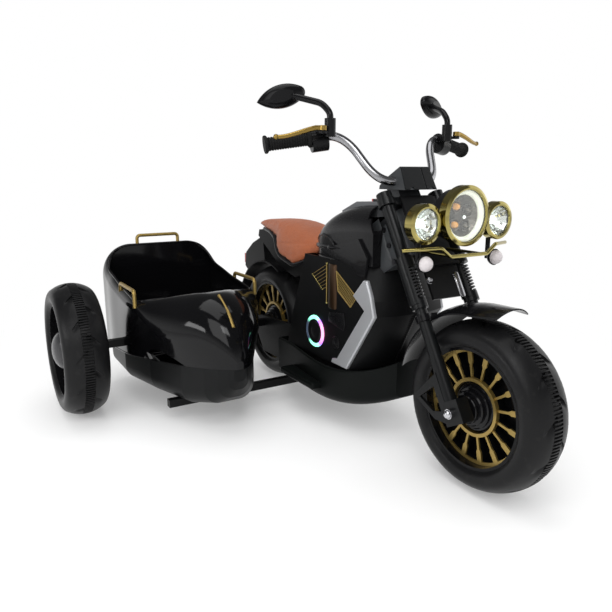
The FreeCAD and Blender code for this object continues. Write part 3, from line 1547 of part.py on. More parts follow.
def placed_nodes():
    wheel_tyre, wheel_rim, wheel_trim = tyre(), rim(), spoke_trim()
    bowls = lamp_bowls()
    right_shell, left_shell = body_shells()
    tub = sidecar_tub()
    filled_tub = loft(tub_sections(), tub_y)
    stalk = signal_stalk(bowls)
    slider = in_fork(fork_slider())
    dropout_face = leg_half_spacing + dropout_outer
    nodes = {
        "chassis_pan": chassis_pan(),
        "body_shell_right": right_shell,
        "body_shell_left": left_shell,
        "tank_cover": tank_cover(),
        "control_panel": control_panel(),
        "power_button": power_button(),
        "direction_rocker": direction_rocker(),
        "steering_head": steering_head(),
        "side_guards": pair(side_guard()),
        "led_rings": pair(led_ring()),
        "mesh_inserts": pair(mesh_insert()),
        "seat": seat(),
        "rear_fender": rear_fender(),
        "tail_lamp": tail_lamp(),
        "swingarm_plate": swingarm_plate(),
        "rear_axle": rear_axle(),
        "gearbox_case": Part.Compound([gearbox_case(), gearbox_cover()]),
        "drive_motor": drive_motor(),
        "motor_pinion": motor_pinion(),
        "reduction_gear": reduction_gear(),
        "battery": battery(),
        "control_board": control_board(),
        "charge_socket": charge_socket(),
        "sidecar_tub": tub,
        "sidecar_hull": sidecar_hull(),
        "sidecar_bench": sidecar_bench(),
        "sidecar_frame": sidecar_frame(),
        "sidecar_axle": sidecar_axle(),
        "sidecar_rails": Part.Compound(sidecar_rails(filled_tub) + [sidecar_trim(filled_tub)]),
        "frame_screws": frame_screws(),
        "steering_stem": steering_stem(),
        "fork_sleeves": Part.Compound([in_fork(fork_sleeve(side)) for side in (1, -1)]),
        "fork_panel": fork_panel(),
        "lamp_bowls": Part.Compound(bowls.Solids + [stalk, mirrored(stalk)]),
        "lamp_bezels": Part.Compound([lamp_bezel(*place[:4]) for place in lamp_places()]),
        "lamp_lenses": Part.Compound([lamp_lens(*place[:4]) for place in lamp_places()]),
        "bumper_bar": bumper_bar(),
        "signal_lenses": pair(signal_lens()),
        "handlebar": handlebar(),
        "clamp_box": clamp_box(),
        "left_grip": grip(),
        "throttle_grip": mirrored(grip()),
        "switch_pods": pair(switch_pod()),
        "left_lever": lever(),
        "right_lever": mirrored(lever()),
        "left_mirror": mirror(),
        "right_mirror": mirrored(mirror()),
        "fork_sliders": pair(slider),
        "fork_springs": fork_springs(),
        "front_fender": front_fender(),
        "front_axle": moved(axle(dropout_face + 2, dropout_face), wheelbase, 0, 0),
        "front_tyre": moved(wheel_tyre, wheelbase, 0, 0),
        "front_rim": moved(wheel_rim, wheelbase, 0, 0),
        "front_spokes": moved(wheel_trim, wheelbase, 0, 0),
        "rear_tyre": wheel_tyre,
        "rear_rim": Part.Compound([wheel_rim, output_gear()]),
        "rear_spokes": wheel_trim,
        "sidecar_tyre": moved(wheel_tyre, 0, -sidecar_track, 0),
        "sidecar_rim": moved(wheel_rim, 0, -sidecar_track, 0),
        "sidecar_hub_cap": moved(hub_cap(), 0, -sidecar_track, 0),
    }
    return nodes


def grounded(nodes):
    # the whole model set on the ground with its outline's middle over the origin
    whole = Part.Compound(list(nodes.values()))
    bounds = whole.optimalBoundingBox(False, False)
    shift = Vector(-bounds.Center.x, -bounds.Center.y, -bounds.ZMin)
    return {name: moved(shape, *shift) for name, shape in nodes.items()}, shift


def main():
    os.makedirs("parts", exist_ok=True)
    nodes, shift = grounded(placed_nodes())
    for name, shape in nodes.items():
        shape.exportStep(f"parts/{name}.step")
    print(len(nodes), "pieces, moved by", shift)


if __name__ == "__main__":
    main()
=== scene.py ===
import json
import math

import bmesh
import bpy
from mathutils import Matrix, Vector
from mathutils.bvhtree import BVHTree

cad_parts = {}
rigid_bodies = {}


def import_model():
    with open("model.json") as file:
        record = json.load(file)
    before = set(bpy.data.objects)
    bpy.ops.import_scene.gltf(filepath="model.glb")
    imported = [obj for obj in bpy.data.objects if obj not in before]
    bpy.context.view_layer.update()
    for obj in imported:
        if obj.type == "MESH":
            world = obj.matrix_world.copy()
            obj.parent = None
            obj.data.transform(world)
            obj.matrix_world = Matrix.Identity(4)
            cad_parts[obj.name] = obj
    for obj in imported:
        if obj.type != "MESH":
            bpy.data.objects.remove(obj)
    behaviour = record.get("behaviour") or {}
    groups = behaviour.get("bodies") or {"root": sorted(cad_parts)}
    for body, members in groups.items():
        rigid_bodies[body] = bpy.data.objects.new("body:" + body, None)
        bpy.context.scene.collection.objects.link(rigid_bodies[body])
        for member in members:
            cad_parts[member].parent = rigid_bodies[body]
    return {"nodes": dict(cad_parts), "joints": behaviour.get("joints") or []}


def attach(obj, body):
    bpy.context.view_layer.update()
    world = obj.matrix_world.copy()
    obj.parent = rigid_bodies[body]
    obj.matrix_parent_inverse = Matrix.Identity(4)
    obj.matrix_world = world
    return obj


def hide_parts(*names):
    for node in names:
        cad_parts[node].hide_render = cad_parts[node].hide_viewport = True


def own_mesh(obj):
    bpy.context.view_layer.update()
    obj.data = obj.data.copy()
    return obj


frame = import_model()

scene = bpy.context.scene
for stray in [o for o in scene.objects if o.type != "EMPTY" and o not in frame["nodes"].values()]:
    bpy.data.objects.remove(stray)  # whatever an empty file starts with
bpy.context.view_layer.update()  # the solids' own box, before anything is added
mm = 0.001
sides = (("left", 1), ("right", -1))
axle = Vector(next(j["pos_m"] for j in frame["joints"] if j["name"] == "rear_wheel_spin"))
bike = {"wheelbase": 840.0, "rake": math.radians(30), "sidecarTrack": -629.0, "bodyHalf": 96.0,
        "ring": (352.0, 55.0)}


def place(x, y, z):  # millimetres from the middle of the rear axle: forward, left, up
    return axle + Vector((x, y, z)) * mm


def sided(point, side):  # a point of the left half, or its image on the right
    return place(point.x, side * point.y, point.z)


def forkPlace(x, y, z):  # millimetres from the front axle, leaning with the fork
    lean = bike["rake"]
    across, up = x * math.cos(lean) - z * math.sin(lean), x * math.sin(lean) + z * math.cos(lean)
    return place(bike["wheelbase"] + across, y, up)


def shares(count):  # even steps from 0 to 1
    return [i / count for i in range(count + 1)]


def circle(count):  # even angles once round
    return [2 * math.pi * i / count for i in range(count)]


def halfCircle(count):  # even angles over a half turn, both ends included
    return [math.pi * i / count for i in range(count + 1)]


def ease(t):
    t = max(0.0, min(1.0, t))
    return t * t * (3 - 2 * t)


def tinted(colour, factor):
    return tuple(c * factor for c in colour)


def between(table, x):  # straight-line lookup in rows of (x, value, value, ...)
    if x <= table[0][0]:
        return table[0][1:]
    for low, high in zip(table, table[1:]):
        if x <= high[0]:
            t = (x - low[0]) / (high[0] - low[0])
            return tuple(a + (b - a) * t for a, b in zip(low[1:], high[1:]))
    return table[-1][1:]


def arcPoints(first, middle, last, count):  # a circle's arc through three points of a plane
    (ax, ay), (bx, by), (cx, cy) = first, middle, last
    d = 2 * (ax * (by - cy) + bx * (cy - ay) + cx * (ay - by))
    a2, b2, c2 = ax * ax + ay * ay, bx * bx + by * by, cx * cx + cy * cy
    ux = (a2 * (by - cy) + b2 * (cy - ay) + c2 * (ay - by)) / d
    uy = (a2 * (cx - bx) + b2 * (ax - cx) + c2 * (bx - ax)) / d
    start, mid, end = (math.atan2(y - uy, x - ux) for x, y in (first, middle, last))
    turn = (end - start) % (2 * math.pi)
    if (mid - start) % (2 * math.pi) > turn:
        turn -= 2 * math.pi
    radius = math.hypot(ax - ux, ay - uy)
    angles = [start + turn * i / count for i in range(count + 1)]
    return [(ux + radius * math.cos(t), uy + radius * math.sin(t)) for t in angles]


def bezier(points, count):  # a smooth run held by three or four points
    run = []
    for s in shares(count):
        layer = [Vector(p) for p in points]
        while len(layer) > 1:
            layer = [a.lerp(b, s) for a, b in zip(layer, layer[1:])]
        run.append(layer[0])
    return run


# shader sockets that can be added, multiplied and compared like numbers
class Wire:
    def __init__(self, finish, socket):
        self.finish, self.socket = finish, socket

    def calc(self, operation, other):
        return self.finish.node("ShaderNodeMath", {"operation": operation}, {0: self, 1: other})

    def __add__(self, other):
        return self.calc("ADD", other)

    def __radd__(self, other):
        return self.calc("ADD", other)

    def __sub__(self, other):
        return self.calc("SUBTRACT", other)

    def __mul__(self, other):
        return self.calc("MULTIPLY", other)

    def __truediv__(self, other):
        return self.calc("DIVIDE", other)

    def __gt__(self, other):
        return self.calc("GREATER_THAN", other)


class Finish:
    def __init__(self, name, owner=None):  # nodes of a new material, or of the world that is given
        self.material = owner or bpy.data.materials.new(name)
        self.material.use_nodes = True
        self.tree = self.material.node_tree
        self.tree.nodes.clear()

    def node(self, kind, settings=None, sockets=None, out=0):  # sockets go by name or number
        made = self.tree.nodes.new(kind)
        for key, value in (settings or {}).items():
            if key == "stops":
                ramp = made.color_ramp
                while len(ramp.elements) < len(value):
                    ramp.elements.new(0.5)
                for element, (position, colour) in zip(ramp.elements, value):
                    element.position, element.color = position, (*colour, 1)
            else:
                setattr(made, key, value)
        for key, value in (sockets or {}).items():
            if isinstance(value, Wire):
                self.tree.links.new(value.socket, made.inputs[key])
            else:
                made.inputs[key].default_value = value
        return Wire(self, made.outputs[out]) if made.outputs else None

    def spot(self):  # where a point lies on the piece at rest, in metres
        return self.node("ShaderNodeTexCoord", None, None, "Object")

    def ray(self, kind):
        return self.node("ShaderNodeLightPath", None, None, kind)

    def part(self, vector, axis):
        return self.node("ShaderNodeSeparateXYZ", None, {0: vector}, axis)

    def stretch(self, vector, scale, turn=(0, 0, 0)):
        return self.node("ShaderNodeMapping", None, {"Vector": vector, "Scale": scale, "Rotation": turn})

    def noise(self, vector, scale, detail=3.0, rough=0.5):
        return self.node("ShaderNodeTexNoise", None,
                         {"Vector": vector, "Scale": scale, "Detail": detail, "Roughness": rough})

    def cells(self, vector, scale):
        return self.node("ShaderNodeTexVoronoi", {"feature": "DISTANCE_TO_EDGE"},
                         {"Vector": vector, "Scale": scale})

    def smooth(self, value, low, high, start=0.0, end=1.0):
        return self.node("ShaderNodeMapRange", {"interpolation_type": "SMOOTHSTEP"},
                         {0: value, 1: low, 2: high, 3: start, 4: end})

    def ramp(self, factor, stops):
        return self.node("ShaderNodeValToRGB", {"stops": stops}, {0: factor})

    def mix(self, factor, first, second):
        first, second = (c if isinstance(c, Wire) else (*c, 1) for c in (first, second))
        return self.node("ShaderNodeMix", {"data_type": "RGBA"}, {0: factor, 6: first, 7: second}, 2)

    def blend(self, factor, first, second):  # the same for two shaders
        return self.node("ShaderNodeMixShader", None, {0: factor, 1: first, 2: second})

    def bump(self, height, depth, strength):
        return self.node("ShaderNodeBump", None, {"Height": height, "Distance": depth, "Strength": strength})

    def surface(self, **looks):
        sockets = {}
        for key, value in looks.items():
            key = key.replace("_", " ")
            if key in ("Base Color", "Emission Color") and not isinstance(value, Wire):
                value = (*value, 1)
            sockets[key] = value
        shader = self.node("ShaderNodeBsdfPrincipled", None, sockets)
        self.node("ShaderNodeOutputMaterial", None, {"Surface": shader})
        return self.material


plasticBase = {"cloud": 9.0, "grain": 1500.0, "fade": 1.6, "drift": 0.12, "shine": 0.10, "coat": 0.0,
               "depth": 0.00008, "rub": (30.0, 30.0, 240.0), "rubTurn": (0.4, 0.3, 0.2), "rubFrom": 0.64}
metalBase = {"cloud": 14.0, "lines": (40.0, 900.0, 900.0), "deep": 0.78, "spread": 0.08, "drift": 0.06,
             "metal": 1.0, "shine": 0.5, "depth": 0.00002}


def mouldedPlastic(name, look):  # fine grain, drifting gloss and faint handling marks
    look = {**plasticBase, **look}
    make = Finish(name)
    spot = make.spot()
    cloud = make.noise(spot, look["cloud"], 4.0)
    grain = make.noise(spot, look["grain"], 2.0)
    rub = make.noise(make.stretch(spot, look["rub"], look["rubTurn"]), 3.0, 3.0)
    rubbed = (rub > look["rubFrom"]) * (cloud > 0.5)
    rough = look["rough"] + (cloud - 0.5) * look["drift"] + (grain - 0.5) * 0.05 + rubbed * 0.05
    tone = make.mix(cloud, look["colour"], tinted(look["colour"], look["fade"]))
    return make.surface(Base_Color=tone, Roughness=rough, Specular_IOR_Level=look["shine"],
                        Coat_Weight=look["coat"], Coat_Roughness=0.06,
                        Normal=make.bump(grain, look["depth"], 0.5))


def platedMetal(name, look):  # plated or painted metal: long fine polishing lines and a slow change of tone
    look = {**metalBase, **look}
    make = Finish(name)
    spot = make.spot()
    cloud = make.noise(spot, look["cloud"], 3.0)
    lines = make.noise(make.stretch(spot, look["lines"]), 1.0, 2.0)
    rough = look["rough"] + (lines - 0.5) * look["spread"] + (cloud - 0.5) * look["drift"]
    tone = make.mix(cloud, tinted(look["colour"], look["deep"]), look["colour"])
    return make.surface(Base_Color=tone, Metallic=look["metal"], Roughness=rough,
                        Specular_IOR_Level=look["shine"], Normal=make.bump(lines, look["depth"], 0.4))


def leatherFinish(name, look):  # pores with creases between them, the creases painted darker as shade
    make = Finish(name)
    spot = make.spot()
    pores = make.cells(spot, look["grain"])
    creases = make.noise(spot, look["grain"] * 0.35, 5.0, 0.6)
    cloud = make.noise(spot, 16.0, 4.0)
    height = make.smooth(pores, 0.0, 0.22)
    worn = make.mix(cloud, look["deep"], look["colour"])
    # painted shade: the low creases between the pores take a darker tone
    creaseShaded = make.mix(height, tinted(look["deep"], 0.7), worn)
    return make.surface(Base_Color=creaseShaded, Roughness=look["rough"] + (cloud - 0.5) * 0.16 - height * 0.06,
                        Specular_IOR_Level=0.35, Sheen_Weight=0.12,
                        Normal=make.bump(height * 0.7 + creases * 0.6, look["depth"], 0.6))


def tyreFinish(name, look):  # dull black with a little dust
    make = Finish(name)
    spot = make.spot()
    cloud = make.noise(spot, 11.0, 4.0)
    grain = make.noise(spot, 1100.0, 2.0)
    dust = make.noise(spot, 60.0, 5.0, 0.65)
    dusty = (dust > 0.6) * 0.25
    tone = make.mix(cloud, look["colour"], look["pale"])
    return make.surface(Base_Color=make.mix(dusty, tone, look["dust"]),
                        Roughness=look["rough"] + (cloud - 0.5) * 0.12 + (grain - 0.5) * 0.08,
                        Specular_IOR_Level=0.16, Normal=make.bump(grain, 0.00012, 0.5))


def glowFinish(name, stops, strength, middle=None):  # coloured by the turn about a middle, or by noise
    make = Finish(name)
    spot = make.spot()
    if middle is None:
        tint = make.ramp(make.noise(spot, 40.0), stops)
    else:
        turn = (make.part(spot, 2) - middle.z).calc("ARCTAN2", make.part(spot, 0) - middle.x)
        tint = make.ramp(turn / (2 * math.pi) + 0.5, stops)
    return make.surface(Base_Color=tint, Roughness=0.3, Emission_Color=tint, Emission_Strength=strength)


def clearFinish(name, look):  # thin clear moulding with a faint ripple
    make = Finish(name)
    ripple = make.noise(make.spot(), 90.0, 2.0)
    return make.surface(Base_Color=make.mix(ripple, look["colour"], tinted(look["colour"], 0.92)),
                        Roughness=look["rough"] + (ripple - 0.5) * 0.03,
                        Alpha=look["alpha"] + (ripple - 0.5) * 0.04,
                        Specular_IOR_Level=0.7, Normal=make.bump(ripple, 0.0002, 0.3))


plastics = {
    "pan_plastic": {"colour": (0.0035, 0.0042, 0.004), "rough": 0.36, "shine": 0.07},
    "body_plastic": {"colour": (0.0040, 0.0041, 0.0044), "rough": 0.38},
    "cowl_plastic": {"colour": (0.030, 0.032, 0.034), "rough": 0.32, "shine": 0.16, "cloud": 14.0},
    "tank_paint": {"colour": (0.0045, 0.0045, 0.005), "rough": 0.24, "shine": 0.16, "coat": 0.2},
    "panel_plastic": {"colour": (0.09, 0.093, 0.098), "rough": 0.32, "shine": 0.2, "coat": 0.08},
    "gearbox_plastic": {"colour": (0.008, 0.008, 0.0085), "rough": 0.5, "shine": 0.12},
    "battery_plastic": {"colour": (0.03, 0.03, 0.032), "rough": 0.5},
    "board_plastic": {"colour": (0.01, 0.05, 0.02), "rough": 0.45},
    "socket_plastic": {"colour": (0.012, 0.012, 0.013), "rough": 0.4},
    "tub_plastic": {"colour": (0.0022, 0.0022, 0.0026), "rough": 0.10, "shine": 0.16, "coat": 0.2,
                    "depth": 0.00002, "drift": 0.03},
    "hull_plastic": {"colour": (0.0055, 0.0058, 0.006), "rough": 0.36, "shine": 0.12},
    "bench_plastic": {"colour": (0.0035, 0.0035, 0.004), "rough": 0.35},
    "lamp_plastic": {"colour": (0.0045, 0.0045, 0.005), "rough": 0.28, "shine": 0.14},
    "mirror_plastic": {"colour": (0.004, 0.004, 0.0045), "rough": 0.2, "shine": 0.16},
    "button_red": {"colour": (0.45, 0.02, 0.015), "rough": 0.3, "shine": 0.5, "fade": 1.1},
    "rocker_plastic": {"colour": (0.008, 0.008, 0.0085), "rough": 0.3, "shine": 0.25},
    "fender_paint": {"colour": (0.003, 0.003, 0.0035), "rough": 0.16, "shine": 0.12, "coat": 0.08},
    "rim_plastic": {"colour": (0.0035, 0.0035, 0.004), "rough": 0.22, "shine": 0.14},
    "clamp_satin": {"colour": (0.007, 0.0075, 0.008), "rough": 0.32, "shine": 0.16},
    "hub_gloss": {"colour": (0.003, 0.003, 0.0035), "rough": 0.12, "shine": 0.2, "coat": 0.15},
    "cap_plastic": {"colour": (0.03, 0.03, 0.032), "rough": 0.26, "shine": 0.4},
    "gear_nylon": {"colour": (0.55, 0.54, 0.5), "rough": 0.45, "fade": 1.1},
    "grip_rubber": {"colour": (0.007, 0.007, 0.007), "rough": 0.6, "depth": 0.00015},
    "red_lens": {"colour": (0.30, 0.008, 0.006), "rough": 0.12, "shine": 0.6, "coat": 0.4, "fade": 1.2},
    "signal_glass": {"colour": (0.60, 0.56, 0.57), "rough": 0.3, "shine": 0.5, "fade": 1.08},
}
metals = {
    "silver_paint": {"colour": (0.50, 0.51, 0.53), "rough": 0.36, "metal": 0.55, "deep": 0.9},
    "gold_trim": {"colour": (0.40, 0.28, 0.085), "rough": 0.34, "metal": 0.75},
    "axle_steel": {"colour": (0.62, 0.62, 0.64), "rough": 0.18},
    "motor_steel": {"colour": (0.45, 0.45, 0.47), "rough": 0.3},
    "frame_steel": {"colour": (0.0045, 0.0045, 0.005), "rough": 0.40, "metal": 0.1, "shine": 0.16},
    "screw_steel": {"colour": (0.06, 0.06, 0.065), "rough": 0.35},
    "fork_metal": {"colour": (0.0055, 0.006, 0.0065), "rough": 0.30, "metal": 0.1, "shine": 0.2},
    "bezel_chrome": {"colour": (0.42, 0.355, 0.125), "rough": 0.12, "spread": 0.03},
    "bar_chrome": {"colour": (0.36, 0.36, 0.375), "rough": 0.2, "spread": 0.02, "drift": 0.03,
                   "depth": 0.000004},
    "lever_gold": {"colour": (0.31, 0.205, 0.052), "rough": 0.28, "metal": 0.95},
    "spring_steel": {"colour": (0.05, 0.05, 0.053), "rough": 0.28, "metal": 0.6},
    "gear_steel": {"colour": (0.5, 0.5, 0.52), "rough": 0.3},
    "reflector": {"colour": (0.80, 0.84, 0.80), "rough": 0.10, "spread": 0.04, "deep": 0.9},
    "lamp_shade": {"colour": (0.16, 0.15, 0.125), "rough": 0.3, "metal": 0.7},
    "bronze": {"colour": (0.05, 0.027, 0.013), "rough": 0.35, "metal": 0.8},
    "mirror_face": {"colour": (0.82, 0.84, 0.85), "rough": 0.03, "spread": 0.01, "drift": 0.01, "deep": 0.97},
}
glows = {"lamp_halo": (0.4, (0.72, 0.76, 0.62), (0.92, 0.94, 0.84)),  # strength and two tones
         "lamp_spark": (1.0, (0.85, 0.97, 0.94), (1.0, 1.0, 1.0)),
         "amber_bulb": (0.25, (0.62, 0.25, 0.04), (0.85, 0.42, 0.09))}
leatherLook = {"colour": (0.47, 0.135, 0.042), "deep": (0.37, 0.092, 0.028), "rough": 0.52, "grain": 420.0,
               "depth": 0.0006}
rubberLook = {"colour": (0.0055, 0.0055, 0.006), "pale": (0.010, 0.010, 0.0105),
              "dust": (0.02, 0.0195, 0.019), "rough": 0.36}
lensLook = {"colour": (0.95, 0.97, 0.95), "alpha": 0.10, "rough": 0.03}
mint, pink, violet, shade = (0.25, 0.95, 0.62), (1.0, 0.30, 0.62), (0.38, 0.16, 1.0), (0.02, 0.03, 0.05)
ringStops = [(0.0, shade), (0.12, shade), (0.19, mint), (0.30, mint), (0.38, violet), (0.46, pink),
             (0.57, pink), (0.65, violet), (0.71, mint), (0.83, mint), (0.91, shade)]
ringGlow = 1.6

finishes = {name: mouldedPlastic(name, look) for name, look in plastics.items()}
finishes.update({name: platedMetal(name, look) for name, look in metals.items()})
finishes["seat_leather"] = leatherFinish("seat_leather", leatherLook)
finishes["tyre_plastic"] = tyreFinish("tyre_plastic", rubberLook)
finishes["lamp_glass"] = clearFinish("lamp_glass", lensLook)
ringX, ringZ = bike["ring"]
finishes["light_ring"] = glowFinish("light_ring", ringStops, ringGlow, place(ringX, 0, ringZ))
for name, (strength, first, second) in glows.items():
    finishes[name] = glowFinish(name, [(0.3, first), (0.7, second)], strength)
print("finishes:", len(finishes))

for node in frame["nodes"].values():  # every solid takes the finish of its slot
    slots = node.data.materials
    for i, old in enumerate(slots):
        key = old.name.split(".")[0] if old else ""
        key = "lamp_plastic" if node.name == "switch_pods" else key  # the pods are glossier than the cowls
        if key in finishes:
            slots[i] = finishes[key]
        else:
            print("no finish for", node.name, key)


# a mesh under construction, its points in metres in the shared frame
class Shape:
    def __init__(self):
        self.points, self.faces = [], []

    def skin(self, rows, ring=False, loop=False, caps=False):  # ring closes each row, loop the run of rows
        start, wide = len(self.points), len(rows[0])
        for row in rows:
            self.points.extend(Vector(p) for p in row)
        count = len(rows)
        for i in range(count if loop else count - 1):
            for j in range(wide if ring else wide - 1):
                a, b = start + i * wide, start + (i + 1) % count * wide
                k = (j + 1) % wide
                self.faces.append((a + j, a + k, b + k, b + j))
        if caps:
            self.faces.append(tuple(start + j for j in reversed(range(wide))))
            self.faces.append(tuple(start + (count - 1) * wide + j for j in range(wide)))
        return self

    def lathe(self, centre, axis, profile, steps=48, wave=None, caps=True, loop=False):
        axis = Vector(axis).normalized()
        side = axis.orthogonal().normalized()
        other = axis.cross(side)
        rows = []
        for radius, along in profile:  # millimetres
            row = []
            for t in circle(steps):
                r = max(radius, 0.01) * (wave(t, radius) if wave else 1.0)
                row.append(centre + (axis * along + (side * math.cos(t) + other * math.sin(t)) * r) * mm)
            rows.append(row)
        return self.skin(rows, ring=True, caps=caps and not loop, loop=loop)

    def tube(self, points, radius, steps=12, closed=False):
        rows, count = [], len(points)
        side = None
        for i, p in enumerate(points):
            after = points[(i + 1) % count] if closed or i < count - 1 else p
            before = points[i - 1] if closed or i > 0 else p
            along = (after - before).normalized()
            side = along.orthogonal() if side is None else side - along * side.dot(along)
            side.normalize()
            other = along.cross(side)
            r = radius[i] if isinstance(radius, (list, tuple)) else radius
            rows.append([p + (side * math.cos(t) + other * math.sin(t)) * r * mm for t in circle(steps)])
        return self.skin(rows, ring=True, loop=closed, caps=not closed)

    def plate(self, outline, inner, outer, bevel=0.0, lay=None):  # (x, z) between two distances sideways
        sign = 1 if outer > inner else -1
        lay = lay or (lambda u, v, w: place(u, w, v))
        area = sum(outline[i - 1][0] * p[1] - p[0] * outline[i - 1][1] for i, p in enumerate(outline))
        spin = 1 if area > 0 else -1

        def drawn(inset, y):
            row = []
            for i, p in enumerate(outline):
                before, after = Vector(outline[i - 1]), Vector(outline[(i + 1) % len(outline)])
                here = Vector(p)
                a, b = (here - before).normalized(), (after - here).normalized()
                turn = Vector((-(a.y + b.y), a.x + b.x))
                turn = turn.normalized() if turn.length > 1e-6 else Vector((-a.y, a.x))
                reach = inset / max(0.35, turn.dot(Vector((-a.y, a.x))))
                spot = here + turn * reach * spin
                row.append(lay(spot.x, spot.y, y))
            return row

        rows = [drawn(0, inner), drawn(0, outer - sign * bevel)]
        if bevel:
            rows += [drawn(bevel * 0.35, outer - sign * bevel * 0.3), drawn(bevel, outer)]
        return self.skin(rows, ring=True, caps=True)

    def piece(self, name, finish, body, slot, angle=32, replaces=()):  # the angle from which edges are sharp
        mesh = bpy.data.meshes.new(name)
        mesh.from_pydata([tuple(p) for p in self.points], [], self.faces)
        made = bmesh.new()
        made.from_mesh(mesh)
        bmesh.ops.remove_doubles(made, verts=made.verts, dist=1e-6)
        bmesh.ops.recalc_face_normals(made, faces=made.faces)
        limit = math.radians(angle)
        for edge in made.edges:
            edge.smooth = not (len(edge.link_faces) == 2 and edge.calc_face_angle(0) > limit)
        for face in made.faces:
            face.smooth = True
        made.to_mesh(mesh)
        made.free()
        obj = bpy.data.objects.new(name, mesh)
        scene.collection.objects.link(obj)
        mesh.materials.append(finishes[finish])
        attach(obj, body)
        if replaces:
            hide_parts(*replaces)
        return obj


# tyres: a ribbed middle band, curved slots over both shoulders and a ridge above the rim
tyreLook = {"radius": 175.0, "half": 55.0, "rim": 124.0, "bead": 45.0, "shoulder": (161.0, 45.0),
            "crown": (167.6, 33.6), "crownDrop": 0.83, "bandHalf": 11.5, "ribs": 150, "ribDepth": 2.6,
            "pads": 13, "slotDepth": 5.5, "slotStart": 6.0, "slotEnd": 48.0, "slotMiddle": 0.06,
            "sweep": math.radians(11), "ridge": (130.0, 134.0, 0.9),
            "columns": [(0.0, 0), (0.02, 0.9), (0.06, 1), (0.11, 0.75), (0.17, 0.4), (0.24, 0), (0.38, 0),
                        (0.54, 0), (0.7, 0), (0.86, 0)]}  # share of a pad, share of the slot's depth


def tyreProfile():
    look = tyreLook
    shoulder, edge = look["shoulder"], look["bandHalf"]
    bulge = ((look["rim"] + shoulder[0]) / 2, look["half"])
    side = arcPoints(shoulder, bulge, (look["rim"], look["bead"]), 12)
    crown = arcPoints((look["radius"], 0.0), look["crown"], shoulder, 14)
    run = [p for p in crown if p[1] > edge + 0.6] + side[1:]
    rise = look["radius"] - look["crownDrop"]
    return [(rise - look["ribDepth"], 0.0), (rise - look["ribDepth"], edge), (rise, edge + 0.3)] + run


def makeTyre(key, centre):
    look = tyreLook
    shape = Shape()
    profile = tyreProfile()
    ridgeLow, ridgeHigh, ridgeOut = look["ridge"]
    for hand in (1, -1):
        rows, travelled, last = [], 0.0, profile[2]
        for radius, y in profile:
            if y > last[1] or radius < last[0]:
                travelled += math.hypot(radius - last[0], y - last[1])
            last = (radius, y)
            t = (travelled - look["slotStart"]) / (look["slotEnd"] - look["slotStart"])
            cutIn = ease(t * 6) * ease((1 - t) * 3) if 0 < t < 1 else 0.0
            narrow = 0.35 + 0.65 * math.sin(math.pi * min(max(t, 0.0), 1.0)) ** 0.7
            sweep = look["sweep"] * max(0.0, min(t, 1.2)) ** 1.4
            out = hand * (y + (ridgeOut if ridgeLow < radius < ridgeHigh else 0.0))
            row = []
            for pad in range(look["pads"]):
                for share, sunk in look["columns"]:
                    if share < 0.25:  # the slot narrows towards its ends
                        share = look["slotMiddle"] + (share - look["slotMiddle"]) * narrow
                    turn = -(2 * math.pi * (pad + share + (0.5 if hand < 0 else 0)) / look["pads"] + sweep)
                    r = radius - sunk * cutIn * look["slotDepth"]
                    row.append(centre + Vector((math.cos(turn) * r, out, math.sin(turn) * r)) * mm)
            rows.append(row)
        shape.skin(rows, ring=True)
    band, deep = look["bandHalf"], look["ribDepth"]
    step = 2 * math.pi / look["ribs"]
    crown = [(look["radius"] - look["crownDrop"] * (y / band) ** 2, y)
             for y in (-band, -band / 2, 0.0, band / 2, band)]
    for i in range(look["ribs"]):
        rows = []
        for share, lift in ((0.05, -deep), (0.16, 0.0), (0.50, 0.0), (0.61, -deep)):
            turn = (i + share) * step
            rows.append([centre + Vector((math.cos(turn) * (r + lift), y, math.sin(turn) * (r + lift))) * mm
                         for r, y in crown])
        shape.skin(rows)
        for k in (0, -1):  # close the rib's ends
            start = len(shape.points)
            shape.points.extend(row[k].copy() for row in rows)
            shape.faces.append(tuple(range(start, start + 4)))
    shape.piece(key + "TreadTyre", "tyre_plastic", key + "_wheel", "tyre_plastic", 40, [key + "_tyre"])


wheels = {"front": place(bike["wheelbase"], 0, 0), "rear": place(0, 0, 0),
          "sidecar": place(0, bike["sidecarTrack"], 0)}
for key, centre in wheels.items():
    makeTyre(key, centre)
print("tyres:", len(wheels))

# hubs: stepped turned bosses on the two bike wheels and a domed cap outside the sidecar wheel
hubLook = {"steps": [(50, 22.5), (50, 25), (47, 27.5), (43, 28), (43, 33), (40.5, 35), (36, 35.4), (36, 41),
                     (33.5, 43.4), (29, 44), (29, 51), (27.6, 52.6)],
           "cap": [(50.9, 22.5), (50.9, 33), (49.5, 37), (46, 42.5), (40, 48.5), (32, 53.6), (22, 57.4),
                   (11, 59.4), (0, 60)]}


def makeHubs():
    for key in ("front", "rear"):
        for name, side in sides:
            hub = Shape().lathe(wheels[key], (0, side, 0), hubLook["steps"], 64, caps=False)
            hub.piece(key + name.capitalize() + "HubSteps", "hub_gloss", key + "_wheel", "rim_plastic", 28)
    cap = Shape().lathe(wheels["sidecar"], (0, -1, 0), hubLook["cap"], 64)
    cap.piece("sidecarHubDome", "cap_plastic", "sidecar_wheel", "cap_plastic", 40, ["sidecar_hub_cap"])


makeHubs()
print("hubs")

